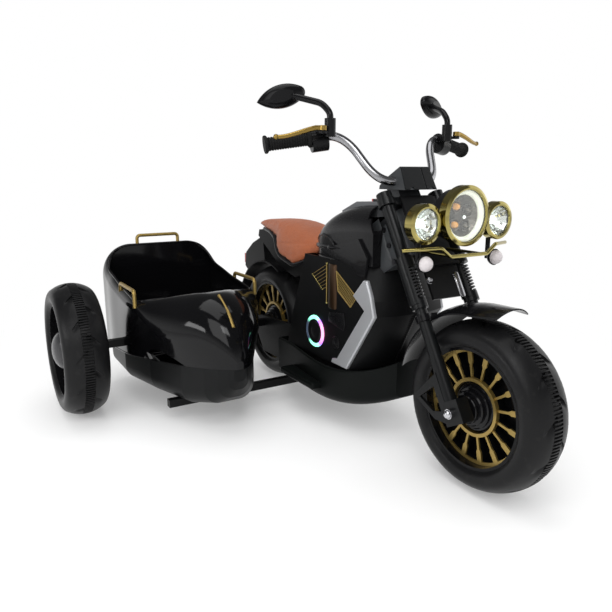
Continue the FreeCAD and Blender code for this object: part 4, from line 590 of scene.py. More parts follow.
# lamp fronts: a dished reflector with flutes, bulbs, a lit ring and a thin clear dome
lampLook = {"main": (765.0, 0.0, 373.0), "mainOpen": 51.3, "mainDeep": 30.0, "mainInset": 6.2,
            "mainFloor": 37.0, "fog": (757.0, 100.0, 360.0), "fogOpen": 30.3, "fogDeep": 24.0,
            "fogStart": 4.0, "fogFloor": (4, -28),
            "haloWide": (9.5, 3.0), "mainRings": (0.96, 0.85, 0.7, 0.55, 0.4, 0.25, 0.1),
            "fogRings": (0.92, 0.9, 0.76, 0.74, 0.58, 0.56, 0.42, 0.3), "fogStep": 1.2,
            "amberAt": ((-14, 18), (-16, -18)), "clearAt": ((18, 10), (12, -20)), "bulbBack": -26.0,
            "cup": [(6, -4), (11, 4), (12.5, 9), (12.5, 11), (11.5, 11), (8, 4), (4, 1)],
            "bulb": [(5.5, 2), (6.5, 6), (6.5, 11), (5.0, 15), (2.5, 17), (0, 17.6)],
            "sparkAt": (-12, 4, -3), "spark": [(3.4, 0), (3.4, 2), (2.2, 3.6), (0, 4.2)],
            "fogBulb": [(7, -2), (9, 3), (9, 9), (7, 13), (3, 15), (0, 15.6)], "fogBulbAt": (-24, 0, 0)}
ahead = Vector((1, 0, 0))


def lampPiece(shape, name, finish, angle=60, replaces=()):
    shape.piece(name, finish, "steering", "lamp_glass", angle, replaces)


def lampDome(name, centre, opening, replaces=()):
    rise = [(opening * math.sin(t / 2), 0.4 + 5.0 * math.cos(t / 2)) for t in halfCircle(10)]
    dome = Shape().lathe(centre, ahead, [(opening, -1.5)] + rise, 64, caps=False)
    lampPiece(dome, name, "lamp_glass", replaces=replaces)


def makeMainLamp():
    look = lampLook
    centre, opening = place(*look["main"]), look["mainOpen"]
    lampDome("mainLampDome", centre, opening, ["lamp_lenses"])
    rows = []
    for t in circle(72):
        wide = look["haloWide"][0] + look["haloWide"][1] * math.cos(t)
        section = ((0, -9), (0, -3), (2, -2.2), (5, -2.0), (wide - 2, -3.4), (wide, -6), (wide, -9))
        way = Vector((0, math.cos(t), math.sin(t)))
        rows.append([centre + (ahead * along + way * (opening - inset)) * mm for inset, along in section])
    lampPiece(Shape().skin(rows, ring=True, loop=True), "mainLampRing", "lamp_halo", 32)
    inner = opening - look["mainInset"]
    bowl = [(inner * s, -6 - look["mainDeep"] * (1 - s * s)) for s in look["mainRings"]]
    dish = Shape().lathe(centre, ahead, [(inner, -6)] + bowl + [(0, -look["mainFloor"])], 72,
                         lambda t, r: 1 + 0.012 * math.cos(18 * t), False)
    lampPiece(dish, "mainLampDish", "lamp_shade")
    feet = {kind: [centre + Vector((look["bulbBack"], y, z)) * mm for y, z in look[kind]]
            for kind in ("amberAt", "clearAt")}
    cups, amber, clear = Shape(), Shape(), Shape()
    for first, second in zip(feet["amberAt"], feet["clearAt"]):
        for foot, bulb in ((first, amber), (second, clear)):
            cups.lathe(foot, ahead, look["cup"], 28)
            bulb.lathe(foot, ahead, look["bulb"], 20)
    cups.piece("mainLampCups", "lamp_shade", "steering", "bezel_chrome")
    lampPiece(amber, "mainLampAmberBulbs", "amber_bulb")
    lampPiece(clear, "mainLampClearBulbs", "lamp_shade")
    spark = Shape().lathe(centre + Vector(look["sparkAt"]) * mm, ahead, look["spark"], 20)
    lampPiece(spark, "mainLampSpark", "lamp_spark")


def makeFogLamps():
    look = lampLook
    opening = look["fogOpen"]
    for name, side in sides:
        centre = sided(Vector(look["fog"]), side)
        lampDome(name + "FogDome", centre, opening)
        rings = [(opening, -look["fogStart"])]
        for i, s in enumerate(look["fogRings"]):
            step = look["fogStep"] if i % 2 else 0.0
            rings.append((opening * s, -look["fogStart"] - look["fogDeep"] * (1 - s * s) + step))
        dish = Shape().lathe(centre, ahead, rings + [look["fogFloor"]], 48,
                             lambda t, r: 1 + 0.035 * math.cos(12 * t), False)
        lampPiece(dish, name + "FogDish", "reflector", 25)
        glow = Shape().lathe(centre + Vector(look["fogBulbAt"]) * mm, ahead, look["fogBulb"])
        lampPiece(glow, name + "FogBulb", "lamp_spark")


makeMainLamp()
makeFogLamps()
print("lamp fronts: 3")

# lit rings on both flanks, each with a dark dished cover inside
ringLook = {"radius": 37.0, "tube": 5.0, "lift": 0.1,
            "cover": [(31.8, 0.1), (31.8, 3.4), (30, 4.0), (27, 3.0), (22, 1.8), (15, 3.6), (9, 4.6),
                      (0, 5.0)]}


def makeRings():
    for name, side in sides:
        middle = place(ringX, side * bike["bodyHalf"], ringZ)
        rows = []
        for t in circle(72):
            row = []
            for a in halfCircle(8):
                r = ringLook["radius"] + ringLook["tube"] * math.cos(a)
                out = side * (ringLook["tube"] * math.sin(a) + ringLook["lift"])
                row.append(middle + Vector((math.cos(t) * r, out, math.sin(t) * r)) * mm)
            rows.append(row)
        ring = Shape().skin(rows, loop=True)
        ring.piece(name + "LightRing", "light_ring", "frame", "light_ring", 60, ["led_rings"])
        cover = Shape().lathe(middle, (0, side, 0), ringLook["cover"], 48)
        cover.piece(name + "RingCover", "lamp_plastic", "frame", "body_plastic")


makeRings()

# gold mesh on both flanks: a dark backing with two crossing sets of fine wires inside a frame
meshLook = {"corners": [(448, 226), (532, 176), (508, 148), (456, 178)],
            "ways": ((0.86, -0.51), (0.51, 0.86)), "pitch": 5.4, "wire": 0.65, "rim": 1.2,
            "back": 0.4, "front": 1.0, "shortest": 3.0}


def makeMesh():
    look, skin = meshLook, bike["bodyHalf"]
    corners = [Vector(c) for c in look["corners"]]
    for name, side in sides:
        back = Shape().plate(look["corners"], side * skin, side * (skin + look["back"]))
        back.piece(name + "MeshBacking", "body_plastic", "frame", "body_plastic", 30, ["mesh_inserts"])
        wires, front = Shape(), side * (skin + look["front"])
        for x, z in look["ways"]:
            across = Vector((-z, x))
            spans = [c.dot(across) for c in corners]
            level = min(spans) + look["pitch"] / 2
            while level < max(spans):
                cuts = []
                for a, b in zip(corners, corners[1:] + corners[:1]):
                    da, db = a.dot(across) - level, b.dot(across) - level
                    if da * db < 0:
                        cuts.append(a + (b - a) * (da / (da - db)))
                if len(cuts) == 2 and (cuts[0] - cuts[1]).length > look["shortest"]:
                    wires.tube([place(c.x, front, c.y) for c in cuts], look["wire"], 6)
                level += look["pitch"]
        rim = [place(c.x, front, c.y) for c in corners]
        for a, b in zip(rim, rim[1:] + rim[:1]):
            wires.tube([a, b], look["rim"], 8)
        wires.piece(name + "MeshWires", "gold_trim", "frame", "gold_trim")


makeMesh()
print("flank trim: 2 sides")

# saddle: a leather cover padded by a cloth run, with a black tube along its lower edge, sewn lines and a
# screw at the back
saddleLook = {"stations": [(-112, 20, 292, 300), (-104, 25, 291, 306), (-70, 34, 290, 312),
                           (30, 56, 284, 320), (84, 70, 272, 322), (112, 80, 240, 322), (140, 85, 226, 321),
                           (220, 90, 211, 310), (262, 88, 222, 298), (293, 82, 236, 286),
                           (316, 66, 254, 275)],  # x, half width, foot, top
              "outer": 2.0, "wall": 9.0, "squareness": 2.7, "voxel": 0.005, "swell": 0.004, "steps": 20,
              "pressure": 4.0, "sewn": 0.0016, "seam": 150.0, "seamWide": 3.0, "seamSide": 60.0,
              "belt": 262.0, "beltEnds": (120.0, 285.0), "edge": 5.0, "edgeEnds": (-40.0, 300.0), "fill": 0.8,
              "screwAt": (-86, -12, 304), "screwUp": (0.1, -0.1, 1),
              "screw": [(5.5, -2), (5.5, 3.6), (4.8, 4.6), (2.4, 4.8), (2.2, 3.4), (0, 3.4)]}


def saddleRow(x, shrink):
    half, low, top = between(saddleLook["stations"], x)
    half, top, low = half - shrink, top - shrink, low + (shrink if shrink < 5 else 0)
    power = 2 / saddleLook["squareness"]
    row = []
    for t in halfCircle(24):
        y = half * math.copysign(abs(math.cos(t)) ** power, math.cos(t))
        row.append(place(x, y, low + (top - low) * math.sin(t) ** power))
    return row


def bakedMesh(obj):  # what the modifiers make of it
    graph = bpy.context.evaluated_depsgraph_get()
    mesh = bpy.data.meshes.new_from_object(obj.evaluated_get(graph))
    obj.modifiers.clear()
    return mesh


def puffUp(saddle):  # the cloth run, its swelling kept small
    look = saddleLook
    rest = [v.co.copy() for v in saddle.data.vertices]
    cloth = saddle.modifiers.new("padding", "CLOTH")
    cloth.settings.use_pressure = True
    cloth.settings.uniform_pressure_force = look["pressure"]
    cloth.settings.effector_weights.gravity = 0
    cloth.settings.quality = 5
    cloth.point_cache.frame_start, cloth.point_cache.frame_end = 1, look["steps"]
    for step in range(1, look["steps"] + 1):
        scene.frame_set(step)
    puffed = bakedMesh(saddle)
    for v, was in zip(puffed.vertices, rest):
        shift = v.co - was
        if shift.length > look["swell"]:
            v.co = was + shift * (look["swell"] / shift.length)
    saddle.data = puffed
    scene.frame_set(1)


def sewLines(mesh):  # sewn lines sink into the padding
    look = saddleLook
    seam, side, (back, front) = look["seam"], look["seamSide"], look["beltEnds"]
    for v in mesh.vertices:
        x, y, z = (v.co - axle) / mm
        sink = math.exp(-((x - seam + 0.5 * abs(y)) / look["seamWide"]) ** 2) * ease((side - abs(y)) / 10)
        belt = math.exp(-((z - (look["belt"] + 0.1 * (x - seam))) / look["seamWide"]) ** 2)
        belt *= ease((x - back) / 12) * ease((front - x) / 12)
        sink = max(sink, belt * ease((abs(y) - side) / 10))
        v.co -= v.normal * sink * look["sewn"]


def makeSaddle():
    look = saddleLook
    first, last = look["stations"][0][0] + look["outer"], look["stations"][-1][0] - look["outer"]
    rows = []
    for s in shares(60):
        x = first + (last - first) * s
        low, top = between(look["stations"], x)[1:]
        wall = min(look["wall"], (top - low) * 0.45)
        rows.append(saddleRow(x, look["outer"]) + saddleRow(x, look["outer"] + wall)[::-1])
    shape = Shape().skin(rows, ring=True, caps=True)
    saddle = shape.piece("leatherSaddle", "seat_leather", "frame", "seat_leather", 180, ["seat"])
    remesh = saddle.modifiers.new("voxels", "REMESH")
    remesh.mode, remesh.voxel_size = "VOXEL", look["voxel"]
    saddle.data = bakedMesh(saddle)
    puffUp(saddle)
    mesh = saddle.data
    sewLines(mesh)
    for polygon in mesh.polygons:
        polygon.use_smooth = True
    mesh.materials.clear()
    mesh.materials.append(finishes["seat_leather"])
    grow = saddle.modifiers.new("smooth", "SUBSURF")
    grow.levels = grow.render_levels = 1
    back, front = look["edgeEnds"]
    for name, side in sides:
        path = []
        for s in shares(60):
            x = back + (front - back) * s
            half, low = between(look["stations"], x)[:2]
            path.append(place(x, side * (half - 1), low - 1))
        for turn in range(3):
            path[1:-1] = [(a + b * 2 + c) / 4 for a, b, c in zip(path, path[1:], path[2:])]
        edge = Shape().tube(path, look["edge"], 12)
        edge.piece(name + "SaddleEdge", "lamp_plastic", "frame", "body_plastic", 60)
    screw = Shape().lathe(place(*look["screwAt"]), look["screwUp"], look["screw"], 24)
    screw.piece("saddleScrew", "lamp_plastic", "frame", "seat_leather")


makeSaddle()
print("saddle: padded")

# flank details: a bevelled silver guard, a column with fanned fins, a slanted plate and a round boss
flankLook = {"guard": [(566, 222), (526, 180), (570, 152), (462, 10), (442, 6), (438, -5), (504, -5),
                       (608, 144), (594, 190), (578, 222)], "guardOut": 9.0, "guardBevel": 3.2,
             "column": ((130, 0.86), (133, 1.0), (238, 1.0), (241, 0.86)), "columnAt": 431.0,
             "columnSize": (18.0, 8.0), "columnSink": 2.0, "fanTop": (404, 236), "fanRight": (404, 180),
             "fanLeft": (338, 203), "fanLow": (385, 171), "fins": 7, "fin": 0.8, "finLift": 0.7,
             "spine": (405.5, 141, 238), "spineRadius": 1.3, "spineLift": 1.2, "beads": 11,
             "bead": [(2.2, 0), (2.2, 1.5), (1.6, 2.3), (0, 2.6)],
             "knobAt": ((405.5, 239), (405.5, 140)), "knob": [(3.4, 0), (3.4, 2.4), (2.4, 3.4), (0, 3.8)],
             "plate": [(419, 120), (484, 128), (490, 101), (483, 85), (417, 96)], "plateOut": 4.0,
             "plateBevel": 1.6, "bossAt": (450, 48),
             "boss": [(16, -0.5), (16, 2.6), (14.5, 4), (11.5, 4), (10, 2.5), (8, 2.2), (6, 3.2), (0, 3.6)]}


def makeFlanks():
    look, skin = flankLook, bike["bodyHalf"]
    top, right, left, foot = (Vector(look[k]) for k in ("fanTop", "fanRight", "fanLeft", "fanLow"))
    wide, deep = look["columnSize"]
    for name, side in sides:
        out, bevel = side * (skin + look["guardOut"]), look["guardBevel"]
        guard = Shape().plate(look["guard"], side * skin, out, bevel)
        guard.piece(name + "SilverGuard", "silver_paint", "frame", "silver_paint", 20, ["side_guards"])
        rows = []
        for z, draw in look["column"]:
            rows.append([place(look["columnAt"] + wide * math.cos(a) * draw,
                               side * (skin - look["columnSink"] + deep * math.sin(a) * draw), z)
                         for a in halfCircle(16)])
        Shape().skin(rows).piece(name + "FlankColumn", "bronze", "frame", "gold_trim", 35)
        fins, beads = Shape(), Shape()
        for s in shares(look["fins"] - 1):
            ends = (top + (right - top) * s, left + (foot - left) * s)
            fins.tube([place(p.x, side * (skin + look["finLift"]), p.y) for p in ends], look["fin"], 8)
        x, *ends = look["spine"]
        fins.tube([place(x, side * (skin + look["spineLift"]), z) for z in ends], look["spineRadius"], 8)
        fins.piece(name + "FlankFins", "gold_trim", "frame", "gold_trim")
        for s in shares(look["beads"] - 1):
            c = left + (foot - left) * s
            beads.lathe(place(c.x, side * (skin - 0.5), c.y), (0, side, 0), look["bead"], 12)
        for x, z in look["knobAt"]:
            beads.lathe(place(x, side * (skin - 0.5), z), (0, side, 0), look["knob"], 16)
        beads.piece(name + "FlankBeads", "bezel_chrome", "frame", "bezel_chrome", 50)
        out, bevel = side * (skin + look["plateOut"]), look["plateBevel"]
        plate = Shape().plate(look["plate"], side * skin, out, bevel)
        plate.piece(name + "FlankPlate", "lamp_plastic", "frame", "body_plastic", 25)
        x, z = look["bossAt"]
        boss = Shape().lathe(place(x, side * skin, z), (0, side, 0), look["boss"], 40)
        boss.piece(name + "FlankBoss", "lamp_plastic", "frame", "body_plastic", 25)


makeFlanks()

# prow: fine level ribs over the two faces of the lower body's bow, with a bead down its middle
prowLook = {"levels": [(-10, 502, 550), (74, 556, 590), (144, 608, 626)], "low": -5.0, "high": 137.0,
            "pitch": 6.0, "rise": 1.9, "foot": 0.15, "from": 0.02, "wide": 0.9,
            "bead": (-8, 30, 74, 110, 142), "beadRadius": 2.2}


def prowPoint(side, share, z, lift):
    corner, nose = between(prowLook["levels"], z)
    half = bike["bodyHalf"]
    facing = Vector((half, side * (nose - corner))).normalized()
    return place(nose + (corner - nose) * share + facing.x * lift, side * half * share + facing.y * lift, z)


def makeProw():
    look = prowLook
    foot, rise = look["foot"], look["rise"]
    for name, side in sides:
        rows, z = [], look["low"]
        while z < look["high"]:
            for lift, step in ((foot, 0.0), (foot, 0.42), (rise, 0.55), (rise, 0.88)):
                level = z + step * look["pitch"]
                rows.append([prowPoint(side, look["from"] + look["wide"] * s, level, lift)
                             for s in shares(10)])
            z += look["pitch"]
        Shape().skin(rows).piece(name + "ProwRibs", "body_plastic", "frame", "body_plastic", 20)
    bead = Shape().tube([prowPoint(1, 0.0, z, 0.4) for z in look["bead"]], look["beadRadius"], 10)
    bead.piece("prowBead", "body_plastic", "frame", "body_plastic")


makeProw()
print("flanks and prow")

# tank: two rolled bands round its back corners and a brow over the dark slot between them
tankLook = {"bands": [{"z": 278.0, "drop": 5.0, "radius": 6.2}, {"z": 250.0, "drop": -4.0, "radius": 5.0}],
            "bandFrom": 326.0, "bandLong": 140.0, "slotFloor": 284.0, "slotLift": 0.35,
            "slot": [(331, 286), (340, 294), (360, 303), (384, 308), (408, 304), (428, 296), (446, 286)],
            "brow": [1.0, 2.2, 2.8, 3.0, 2.8, 2.0, 0.8], "browUp": 1.5, "browLift": 0.4,
            "far": 300.0, "near": 70.0}


def skinTree(node):
    mesh = frame["nodes"][node].data
    return BVHTree.FromPolygons([v.co for v in mesh.vertices], [tuple(f.vertices) for f in mesh.polygons])


tankSkin = skinTree("tank_cover")


def onTank(x, z, side, lift):  # the point of the tank's flank at that place, seen square from the side
    hit, normal = tankSkin.ray_cast(place(x, side * tankLook["far"], z), Vector((0, -side, 0)))[:2]
    if hit is None:
        hit, normal = tankSkin.find_nearest(place(x, side * tankLook["near"], z))[:2]
    out = normal if normal.y * side > 0 else -normal
    return hit + out * lift * mm


def makeTank():
    look, floor = tankLook, tankLook["slotFloor"]
    for name, side in sides:
        bands = Shape()
        for band in look["bands"]:
            path, sizes = [], []
            for s in shares(24):
                x = look["bandFrom"] + look["bandLong"] * s
                path.append(onTank(x, band["z"] + band["drop"] * s, side, 0.0))
                taper = 1 - 0.75 * ease((s - 0.72) / 0.28)
                sizes.append(band["radius"] * (0.55 + 0.45 * ease(s * 8)) * taper)
            bands.tube(path, sizes, 14)
        bands.piece(name + "TankBands", "tank_paint", "frame", "tank_paint", 60)
        rows = [[onTank(x, floor + (z - floor) * s, side, look["slotLift"]) for s in shares(5)]
                for x, z in look["slot"]]
        Shape().skin(rows).piece(name + "TankSlot", "lamp_plastic", "frame", "body_plastic", 60)
        path = [onTank(x, z + look["browUp"], side, look["browLift"]) for x, z in look["slot"]]
        Shape().tube(path, look["brow"], 12).piece(name + "TankBrow", "tank_paint", "frame", "tank_paint", 60)


makeTank()
print("tank bands")

# grips: rubber sleeves with rings and shallow flutes between two flanges
gripLook = {"end": (455, 289, 515), "bend": (504, 146, 536), "length": 100.0, "radius": 14.5, "flange": 19.0,
            "bore": 9.8, "groove": 1.3, "firstRing": 8.0, "pitch": 5.6, "pod": 18.3, "flute": 0.018}
gripEnd, gripBend = Vector(gripLook["end"]), Vector(gripLook["bend"])
gripAlong = (gripBend - gripEnd).normalized()
podMiddle = gripEnd + gripAlong * (gripLook["length"] + gripLook["pod"])


def makeGrips():
    look = gripLook
    long, wide, bore, top = look["length"], look["flange"], look["bore"], look["radius"]
    profile = [(bore, -1.6), (wide - 1, -2), (wide, -1), (wide, 3), (wide - 1.2, 4.5)]
    ring, low = look["firstRing"], top - look["groove"]
    while ring < long - 10:
        profile += [(low, ring), (top, ring + 0.8), (top, ring + 3.4), (low, ring + 4.2)]
        ring += look["pitch"]
    profile += [(wide - 1.2, long - 5), (wide, long - 4), (wide, long - 0.6), (bore, long - 0.2)]
    owners = {"left": ("steering", "left_grip"), "right": ("throttle", "throttle_grip")}
    for name, side in sides:
        end, (body, node) = sided(gripEnd, side), owners[name]
        sleeve = Shape().lathe(end, sided(gripBend, side) - end, profile, 72,
                               lambda t, r: 1 - look["flute"] * (math.cos(18 * t) > 0.2) * (r < 15))
        sleeve.piece(name + "GripSleeve", "grip_rubber", body, "grip_rubber", 25, [node])


makeGrips()

# mirrors: a smooth stem from the post to the shell, and the glass on the rider's side
mirrorLook = {"length": 110.0, "tall": 50.0, "tail": 0.86, "edge": 4.0, "glass": 2.5,
              "yaw": 21.0, "tilt": 14.0,
              "glassRows": ((0.6, 0.945), (-0.25, 0.935), (-0.55, 0.90), (-0.6, 0.5), (-0.6, 0.05)),
              "post": (30, -10, 38), "knee": (0, 0, 11), "bend": (-23, 6, 32), "joint": (-102, 36, 54),
              "shell": (-15, 18, -2), "stem": 7.0, "boss": 8.4, "foot": 0.4, "kneeIn": 8.0, "kneeOut": 12.0,
              "bendEase": 14.0, "collar": (12.0, 10.5, 2.0, 0.0)}


def makeMirrors():
    look = mirrorLook
    half, tall = look["length"] / 2, look["tall"] / 2
    upper, lower = (-half * look["tail"], tall * 0.5), (-half * look["tail"], -tall * 0.5)
    outline = arcPoints((half, 0), (0, tall), upper, 14)[:-1] + arcPoints(upper, (-half, 0), lower, 8)[:-1]
    outline += arcPoints(lower, (0, -tall), (half, 0), 14)[:-1]
    yaw, tilt = math.radians(look["yaw"]), math.radians(-look["tilt"])
    turn = Matrix.Rotation(yaw, 3, "Z") @ Matrix.Rotation(tilt, 3, "X")
    post = podMiddle + Vector(look["post"])
    knee, bend, joint = (post + Vector(look[k]) for k in ("knee", "bend", "joint"))
    middle = joint + Vector(look["shell"])
    up, rising, leaning = Vector((0, 0, 1)), (bend - knee).normalized(), (joint - bend).normalized()
    route = [post + up * look["foot"]]
    route += bezier([knee - up * look["kneeIn"], knee, knee + rising * look["kneeOut"]], 16)
    route += bezier([bend - rising * look["bendEase"], bend, bend + leaning * look["bendEase"]], 16)
    route += [joint - leaning * back for back in look["collar"]]
    sizes = [look["stem"]] * (len(route) - 3) + [look["boss"], look["boss"], look["stem"]]
    face = -look["edge"] - look["glass"]
    for name, side in sides:
        rows = [[sided(turn @ Vector((face + x, y * scale, z * scale)) + middle, side) for y, z in outline]
                for x, scale in look["glassRows"]]
        glass = Shape().skin(rows, ring=True, caps=True)
        glass.piece(name + "MirrorGlass", "mirror_face", "mirror_" + name, "mirror_plastic", 30)
        stem = Shape().tube([sided(p, side) for p in route], sizes, 28)
        stem.piece(name + "MirrorStem", "mirror_plastic", "mirror_" + name, "mirror_plastic", 40)


makeMirrors()

# handlebar: one chrome tube with easy bends, and cast levers with a ball at the tip
barLook = {"high": (514, 118, 527), "low": (578, 82, 441), "root": (593, 30, 437), "radius": 9.5,
           "start": 2.0, "hold": 60.0, "nearPod": 13.0, "past": 4.0, "upper": 46.0, "lower": 44.0,
           "inner": 33.0}
leverLook = {"pivotFrom": (38, 13, 17), "tipFrom": (50, 0, 14), "bow": 6.0, "eye": 8.0, "bore": 3.2,
             "tall": 5.4, "thick": 4.0, "thin": 0.9, "low": 1.4, "ball": 5.6, "root": 5.0,
             "tipEase": 24.0, "square": 0.7}


def makeBar():
    look = barLook
    high, low, root = (Vector(look[k]) for k in ("high", "low", "root"))
    falling, rising = (low - high).normalized(), (root - low).normalized()
    route = [gripEnd + gripAlong * look["start"], gripEnd + gripAlong * look["hold"]]
    route += bezier([gripBend - gripAlong * look["nearPod"], gripBend + gripAlong * look["past"],
                     high + gripAlong * look["start"], high + falling * look["upper"]], 70)
    route += bezier([low - falling * look["lower"], low, low + rising * look["inner"]], 50)
    route.append(root)
    path = [sided(p, 1) for p in route] + [sided(p, -1) for p in reversed(route)]
    bar = Shape().tube(path, look["radius"], 48)
    bar.piece("chromeBar", "bar_chrome", "steering", "bar_chrome", 40, ["handlebar"])


def rounded(value, power):  # a sine or cosine drawn out towards a square
    return math.copysign(abs(value) ** power, value)


def makeLevers():
    look = leverLook
    eye, bore, high, ball = look["eye"], look["bore"], look["tall"], look["ball"]
    eyeProfile = [(bore, -high), (eye - 1, -high), (eye, 1 - high), (eye, high - 1), (eye - 1, high),
                  (bore, high)]
    ballProfile = [(ball * math.sin(t), -ball * math.cos(t)) for t in halfCircle(12)]
    pivot, tip = podMiddle + Vector(look["pivotFrom"]), gripEnd + Vector(look["tipFrom"])
    away = Vector((tip.x - pivot.x, tip.y - pivot.y, 0)).normalized()
    level = pivot + away * 2 * eye
    middle = level.lerp(tip, 0.45) + Vector((look["bow"], 0, 0))
    nearTip = tip - away * look["tipEase"] + Vector((2, 0, -1))
    run = [pivot + away * look["root"]] + bezier([level, middle, nearTip, tip], 48)
    for name, side in sides:
        rows = []
        for i, p in enumerate(run):
            after, before = run[min(i + 1, len(run) - 1)], run[max(i - 1, 0)]
            along = (after - before).normalized()
            across = Vector((-along.y, along.x, 0)).normalized()
            up = along.cross(across)
            s = i / (len(run) - 1)
            thick, tall = look["thick"] - look["thin"] * s, high - look["low"] * s
            row = []
            for a in circle(28):
                wide, rise = rounded(math.cos(a), look["square"]), rounded(math.sin(a), look["square"])
                row.append(sided(p + across * (wide * thick) + up * (rise * tall), side))
            rows.append(row)
        lever = Shape().skin(rows, ring=True, caps=True)
        lever.lathe(sided(pivot, side), (0, 0, 1), eyeProfile, 32, loop=True)
        lever.lathe(sided(tip, side), (0, 0, 1), ballProfile, 24, caps=False)
        lever.piece(name + "CastLever", "lever_gold", "lever_" + name, "lever_gold", 40, [name + "_lever"])


makeBar()
makeLevers()
print("grips, mirrors, bar and levers")

# sidecar edges: a rolled rim round the cockpit, a bead where tub and hull meet, and sills closing that joint
tubLook = {"middle": (100, -330), "rear": -190.0, "lip": 138.0, "half": 162.0, "corner": 40.0, "out": 2.4,
           "above": 500.0, "rimStep": 9.0, "rimSink": 1.2, "rimRadius": 3.4, "flangeRear": (-215, -50),
           "flangeNose": (396, 2), "flangeOver": 2.5, "beadFrom": 1.2, "beadRadius": 1.9,
           "sill": (-60.0, 176.0), "sillHalf": 3.0, "sillIn": 1.5, "sillOut": 2.5}
tubSkin, hullSkin = skinTree("sidecar_tub"), skinTree("sidecar_hull")


def flangeHeight(x):  # the flange climbs towards the nose
    (rearX, rearZ), (noseX, noseZ) = tubLook["flangeRear"], tubLook["flangeNose"]
    return rearZ + (noseZ - rearZ) * (x - rearX) / (noseX - rearX)


def makeTubRim():
    look = tubLook
    midX, midY, corner = (look["rear"] + look["lip"]) / 2, look["middle"][1], look["corner"]
    halfX, halfY = (look["lip"] - look["rear"]) / 2 + look["out"], look["half"] + look["out"]
    plan = []
    for signX, signY, start in ((1, 1, 0), (-1, 1, 90), (-1, -1, 180), (1, -1, 270)):
        for s in shares(12):
            a = math.radians(start + 90 * s)
            plan.append((midX + signX * (halfX - corner) + corner * math.cos(a),
                         midY + signY * (halfY - corner) + corner * math.sin(a)))
    path = []
    for (x, y), (u, v) in zip(plan, plan[1:] + plan[:1]):
        steps = max(1, int(math.hypot(u - x, v - y) / look["rimStep"]))
        for i in range(steps):
            spot = place(x + (u - x) * i / steps, y + (v - y) * i / steps, look["above"])
            hit = tubSkin.ray_cast(spot, Vector((0, 0, -1)))[0]
            path.append(hit - Vector((0, 0, look["rimSink"])) * mm)
    for turn in range(2):  # ease the steps that the fillets leave
        path = [(path[i - 1] + p * 2 + path[(i + 1) % len(path)]) / 4 for i, p in enumerate(path)]
    rim = Shape().tube(path, look["rimRadius"], 12, True)
    rim.piece("tubRim", "tub_plastic", "frame", "tub_plastic", 60)


def makeTubBead():
    look = tubLook
    midX, midY = look["middle"]
    path = []
    for a in circle(120):
        inward = Vector((-math.cos(a), -math.sin(a), 0))
        x = midX
        for turn in range(4):  # the height settles with the place that is hit
            middle = place(midX, midY, flangeHeight(x) + look["flangeOver"])
            hit = tubSkin.ray_cast(middle - inward * look["beadFrom"], inward)[0]
            x = (hit.x - axle.x) / mm
        path.append(hit)
    bead = Shape().tube(path, look["beadRadius"], 10, True)
    bead.piece("tubBead", "tub_plastic", "frame", "tub_plastic", 60)


def makeTubSills():
    look = tubLook
    half, midY, inner, outer = look["sillHalf"], look["middle"][1], look["sillIn"], look["sillOut"]
    start, end = look["sill"]
    band = [(look["half"], -half), (look["half"], half)]
    rows = {1: [], -1: []}
    for s in shares(55):
        x = start + (end - start) * s
        z = flangeHeight(x)
        for k, (skin, sign) in enumerate(((hullSkin, -1), (tubSkin, 1))):
            for step in (1, 3, 5, 7):  # the walls start a little way from the joint in places
                spot = place(x, midY, z + sign * half * step)
                found = [skin.ray_cast(spot, Vector((0, side, 0)))[3] for side in rows]
                hits = [far / mm for far in found if far]
                if hits:
                    band[k] = (min(hits), sign * half * step)
                    break
        (hullAt, low), (tubAt, high) = band
        section = ((hullAt - inner, low), (hullAt + outer, low), (tubAt + outer, high), (tubAt - inner, high))
        for side in rows:
            rows[side].append([place(x, midY + side * y, z + rise) for y, rise in section])
    for name, side in (("inner", 1), ("outer", -1)):
        sill = Shape().skin(rows[side], ring=True, caps=True)
        sill.piece(name + "TubSill", "tub_plastic", "frame", "tub_plastic", 40)


makeTubRim()
makeTubBead()
makeTubSills()

# clamp box: a notched cover in two leaves over its sloping front, with a gap between them
clampLook = {"front": (628.0, 603.0), "low": 421.0, "high": 470.0, "wide": (46.0, 41.0), "margin": 1.5,
             "split": 15.0, "gap": 1.2, "thick": 2.4, "bevel": 0.8, "notches": {"Right": -25.0, "Left": 31.0},
             "notch": (3.5, 5.0)}


def clampLevel(key, v):  # a measure of the sloping front at that height
    low, high = clampLook[key]
    return low + (high - low) * (v - clampLook["low"]) / (clampLook["high"] - clampLook["low"])


def makeClampCover():
    look = clampLook
    foot, top = look["low"] + 1, look["high"] - look["margin"]
    footEdge, topEdge = (clampLevel("wide", v) - look["margin"] for v in (foot, top))
    half, deep = look["notch"]
    for name, way in (("Right", -1), ("Left", 1)):
        inner, notch = look["split"] + way * look["gap"], look["notches"][name]
        outline = [(inner, foot), (notch - way * half * 1.6, foot), (notch - way * half, foot + deep),
                   (notch + way * half, foot + deep), (notch + way * half * 1.6, foot),
                   (way * footEdge, foot), (way * topEdge, top), (inner, top)]
        leaf = Shape().plate(outline, 0.0, look["thick"], look["bevel"],
                             lambda u, v, w: place(clampLevel("front", v) + w, u, v))
        leaf.piece("clamp" + name + "Leaf", "clamp_satin", "steering", "lamp_plastic", 8)


makeClampCover()
print("sidecar edges and clamp cover")

# cowl: a swelling cover on each side of the steering head
cowlLook = {"front": -60.0, "rear": -116.0, "low": 336.0, "high": 447.0, "half": 64.0, "swell": 5.0,
            "edge": 0.3, "blunt": 4.0}


